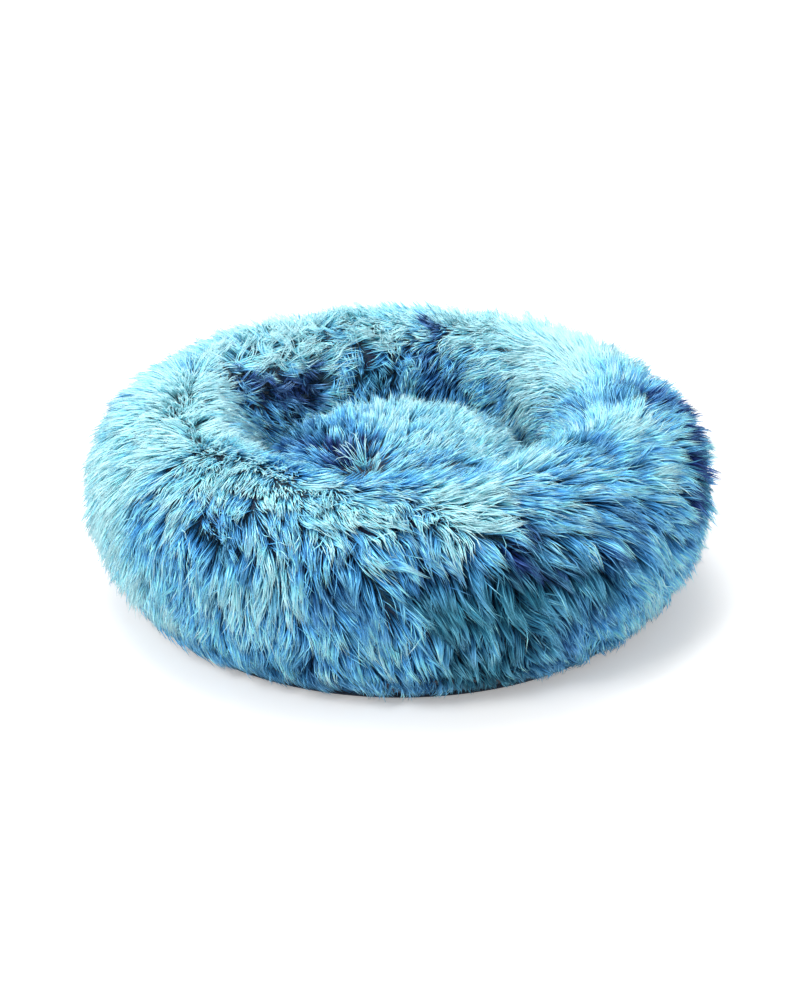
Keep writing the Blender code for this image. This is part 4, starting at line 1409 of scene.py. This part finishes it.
class PETBED_OT_zip(bpy.types.Operator):
    """Makes the zip: two woven tapes, two nylon coils, their stitching, the stops, the slider and its pull"""

    bl_idname = "pet_bed.zip"
    bl_label = "Zip"

    def execute(self, context):
        fittings = context.scene.pet_bed_zip
        tape = self.tape_finish(fittings.tape)
        nylon = Finish("nylon coil", roughness=0.38)
        speck = nylon.grain(600.0)
        nylon.paint(fittings.nylon, 0.85 + speck * 0.3)
        thread = Finish("sewing thread", roughness=0.7, sheen_weight=0.3)
        twist = thread.grain(2200.0)
        thread.paint(fittings.thread, 0.75 + twist * 0.5)
        for side, where in ((1.0, "upper"), (-1.0, "lower")):
            piece = self.tape(f"zip_tape_{where}_woven", side)
            dress(piece, tape, "cover", "zip_tape", f"zip_tape_{where}")
            coil = self.coil(f"zip_coil_{where}_turns", side, fittings)
            dress(coil, nylon, "cover", "zip_nylon", f"zip_coil_{where}")
            dress(self.stitching(f"zip_stitching_{where}", side, fittings), thread, "cover", "zip_tape")
        metal = metal_finish()
        for node, body in (
            ("zip_slider", "slider"),
            ("zip_pull", "pull"),
            ("zip_stop_closed_end", "cover"),
            ("zip_stop_open_end", "cover"),
        ):
            dress(self.eased(node, fittings.edge), metal, body, "zip_metal", node)
        return {"FINISHED"}

    @staticmethod
    def tape_finish(colour):
        """Herringbone tape."""
        finish = Finish("zip tape", roughness=0.85, sheen_weight=0.3)
        turn, _, height = finish.round_axis()
        rib = (turn * 1300.0 + (height * 900.0).ping_pong(1.0) * 5.0).sine()
        slub = finish.grain(1500.0, 2.0)
        finish.paint(colour, 0.80 + rib * 0.20 + (slub - 0.5) * 0.4)
        finish.bump(rib + slub * 0.4, 0.00008)
        return finish

    @staticmethod
    def tape(name, side):
        """A tape with a bead along its coil and a rolled outer edge."""
        theta = np.linspace(ZIP_START, ZIP_END, 200)
        inner, outer = COIL_OUTER + 0.0003, BAND_HALF - 0.0008
        share = np.array([0.0, 0.05, 0.12, 0.2, 0.5, 0.8, 0.92, 1.0])
        half = TAPE_THICKNESS / 2 * np.array([0.5, 1.0, 1.0, 0.75, 0.70, 0.75, 1.0, 0.6])
        y = side * (inner + (outer - inner) * share)
        ripple = 0.00012 * np.sin(theta * 190.0)[:, None] * np.sin(share * math.pi)[None, :]
        face = band_point(theta[:, None], y[None, :], half[None, :] + ripple)
        back = band_point(theta[:, None], y[None, :], -half[None, :] + ripple)
        return band_mesh(name, two_walls(face, back), closed=False)

    @staticmethod
    def coil(name, side, fittings):
        """A nylon coil: one continuous spring of flattened turns."""
        start, end = ZIP_START + STOP_ANGLE + 0.002, ZIP_END - STOP_ANGLE - 0.002
        turns = int((end - start) * BAND_RADIUS / fittings.pitch)
        share = np.linspace(0.0, 1.0, turns * 8 + 1)
        phase = share * turns * math.tau + (0.0 if side > 0 else math.pi)
        wire = fittings.wire / 2
        middle = side * (COIL_INNER + COIL_OUTER) / 2
        y = middle + side * ((COIL_OUTER - COIL_INNER) / 2 - wire) * np.cos(phase)
        z = (COIL_THICKNESS / 2 - wire) * np.sin(phase)
        theta = start + (end - start) * share
        path = band_point(theta, y, z)
        away = path - band_point(theta, middle, 0.0)
        return tube(name, path, wire, 5, away)

    @staticmethod
    def stitching(name, side, fittings):
        """Rows of machine stitches that hold a tape: short lengths of thread with gaps between them."""
        pieces = []
        outer = BAND_HALF - 0.0024
        step = fittings.stitch / BAND_RADIUS
        count = int((ZIP_END - ZIP_START) / step) - 1
        share = np.array([0.08, 0.2, 0.5, 0.8, 0.92])
        lift = np.array([-0.0002, 0.0002, 0.00035, 0.0002, -0.0002])
        swell = np.array([0.55, 1.0, 1.0, 1.0, 0.55]) * fittings.thread_width / 2
        for number in range(count):
            theta = ZIP_START + step * (number + share)
            path = band_point(theta, side * outer, TAPE_THICKNESS / 2 + lift)
            out = band_point(theta, side * outer, 0.01) - path
            pieces.append(tube(f"stitch_{number}", path, swell, 5, out))
        return joined(name, pieces)

    @staticmethod
    def eased(node, width):
        """A copy of a metal part with its edges eased."""
        piece = linked(f"{node}_cast", bpy.data.objects[node].data.copy())
        chosen([piece])
        bpy.ops.object.mode_set(mode="EDIT")
        bpy.ops.mesh.select_all(action="SELECT")
        bpy.ops.mesh.remove_doubles(threshold=1e-6)
        bpy.ops.mesh.dissolve_limited(angle_limit=math.radians(2.0))
        bpy.ops.object.mode_set(mode="OBJECT")
        bevel = piece.modifiers.new("edges", "BEVEL")
        bevel.width = width
        bevel.segments = 2
        bevel.limit_method = "ANGLE"
        bevel.angle_limit = math.radians(30.0)
        bpy.ops.object.modifier_apply(modifier=bevel.name)
        bpy.ops.object.shade_smooth_by_angle(angle=math.radians(35.0))
        return piece


class PETBED_OT_stage(bpy.types.Operator):
    """Sets the floor, the lamps and the camera"""

    bl_idname = "pet_bed.stage"
    bl_label = "Stage"

    def execute(self, context):
        stage = context.scene.pet_bed_stage
        bpy.ops.object.select_all(action="DESELECT")
        bpy.ops.mesh.primitive_grid_add(x_subdivisions=8, y_subdivisions=8, size=16.0)
        floor = context.object
        floor.name = "floor"
        self.floor_finish().on(floor)
        floor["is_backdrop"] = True
        self.world(stage.sky)
        self.lamp("key", (-1.7, -2.1, 2.5), 1.3, stage.key)
        self.lamp("fill", (2.6, -1.2, 1.6), 2.2, stage.fill)
        self.lamp("back", (0.4, 2.6, 2.4), 2.0, stage.fill)
        self.lamp("top", (-0.3, 0.5, 2.9), 1.8, stage.top)
        self.camera(stage)
        context.scene.view_settings.view_transform = "Standard"
        return {"FINISHED"}

    @staticmethod
    def seen(finish):
        """1 for what the camera sees, straight or in a gloss."""
        outputs = finish.node("ShaderNodeLightPath", {}).socket.node.outputs
        rays = [Value(finish, outputs[f"Is {ray} Ray"]) for ray in ("Camera", "Glossy", "Transmission")]
        return (rays[0] + rays[1] + rays[2]).smooth(0.0, 1.0)

    def floor_finish(self):
        finish = Finish("pale floor", base_color=(0.80, 0.80, 0.80, 1.0), roughness=0.9, emission_strength=1.0)
        _, out, _ = finish.round_axis()
        level = self.seen(finish) * (0.30 + out.smooth(0.7, 2.4) * 0.7)
        finish.feed("Emission Color", finish.dimmed((1.0, 1.0, 1.0), level))
        return finish

    def world(self, level):
        world = bpy.data.worlds.new("studio")
        world.use_nodes = True
        bpy.context.scene.world = world
        tree = world.node_tree
        tree.nodes.clear()
        path = tree.nodes.new("ShaderNodeLightPath")
        either = tree.nodes.new("ShaderNodeMath")
        either.operation = "MAXIMUM"
        tree.links.new(path.outputs["Is Camera Ray"], either.inputs[0])
        tree.links.new(path.outputs["Is Glossy Ray"], either.inputs[1])
        mixed = tree.nodes.new("ShaderNodeMixShader")
        tree.links.new(either.outputs[0], mixed.inputs[0])
        for socket, strength in ((1, level), (2, 1.0)):
            light = tree.nodes.new("ShaderNodeBackground")
            light.inputs["Color"].default_value = (1.0, 1.0, 1.0, 1.0)
            light.inputs["Strength"].default_value = strength
            tree.links.new(light.outputs[0], mixed.inputs[socket])
        out = tree.nodes.new("ShaderNodeOutputWorld")
        tree.links.new(mixed.outputs[0], out.inputs["Surface"])

    def lamp(self, name, place, size, power):
        light = bpy.data.lights.new(name, "AREA")
        light.size = size
        light.energy = power
        lamp = linked(name, light)
        lamp.location = place
        lamp.rotation_euler = (Vector((0.0, 0.0, 0.1)) - Vector(place)).to_track_quat("-Z", "Y").to_euler()

    def camera(self, stage):
        data = bpy.data.cameras.new("camera")
        data.sensor_width = 36.0
        data.lens = stage.lens
        data.shift_y = stage.rise
        camera = linked("camera", data)
        aim = Vector((0.0, 0.0, stage.aim))
        back = Vector((0.0, -math.cos(stage.elevation), math.sin(stage.elevation)))
        camera.location = aim + back * stage.distance
        camera.rotation_euler = (-back).to_track_quat("-Z", "Y").to_euler()
        bpy.context.scene.camera = camera


class PETBED_PT_panel(bpy.types.Panel):
    """Lists the settings and the steps"""

    bl_idname = "PETBED_PT_panel"
    bl_label = "Pet bed"
    bl_space_type = "VIEW_3D"
    bl_region_type = "UI"
    bl_category = "Pet bed"

    def draw(self, context):
        layout = self.layout
        for name in SETTINGS:
            settings = getattr(context.scene, name)
            for key in settings.__annotations__:
                layout.prop(settings, key)
        for step in STEPS:
            layout.operator(step.bl_idname)


STEPS = (
    PETBED_OT_stage,
    PETBED_OT_base,
    PETBED_OT_stuffing,
    PETBED_OT_zip,
    PETBED_OT_ground,
    PETBED_OT_bolster_pile,
    PETBED_OT_hem_fringe,
    PETBED_OT_cushion_pile,
    PETBED_OT_loose_fibres,
)
SETTINGS = {
    "pet_bed_pile": PetBedPile,
    "pet_bed_dye": PetBedDye,
    "pet_bed_cloth": PetBedCloth,
    "pet_bed_zip": PetBedZip,
    "pet_bed_stage": PetBedStage,
}


def register():
    for made in (*SETTINGS.values(), *STEPS, PETBED_PT_panel):
        bpy.utils.register_class(made)
    for name, group in SETTINGS.items():
        setattr(bpy.types.Scene, name, bpy.props.PointerProperty(type=group))


def unregister():
    for name in SETTINGS:
        delattr(bpy.types.Scene, name)
    for made in reversed((*SETTINGS.values(), *STEPS, PETBED_PT_panel)):
        bpy.utils.unregister_class(made)


def main():
    register()
    for step in STEPS:
        group, name = step.bl_idname.split(".")
        getattr(getattr(bpy.ops, group), name)()
    boxes = {"cad": CAD_BOX, "visual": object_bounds()}
    {key: [list(corner) for corner in box] for key, box in boxes.items()}


if __name__ == "__main__":
    main()
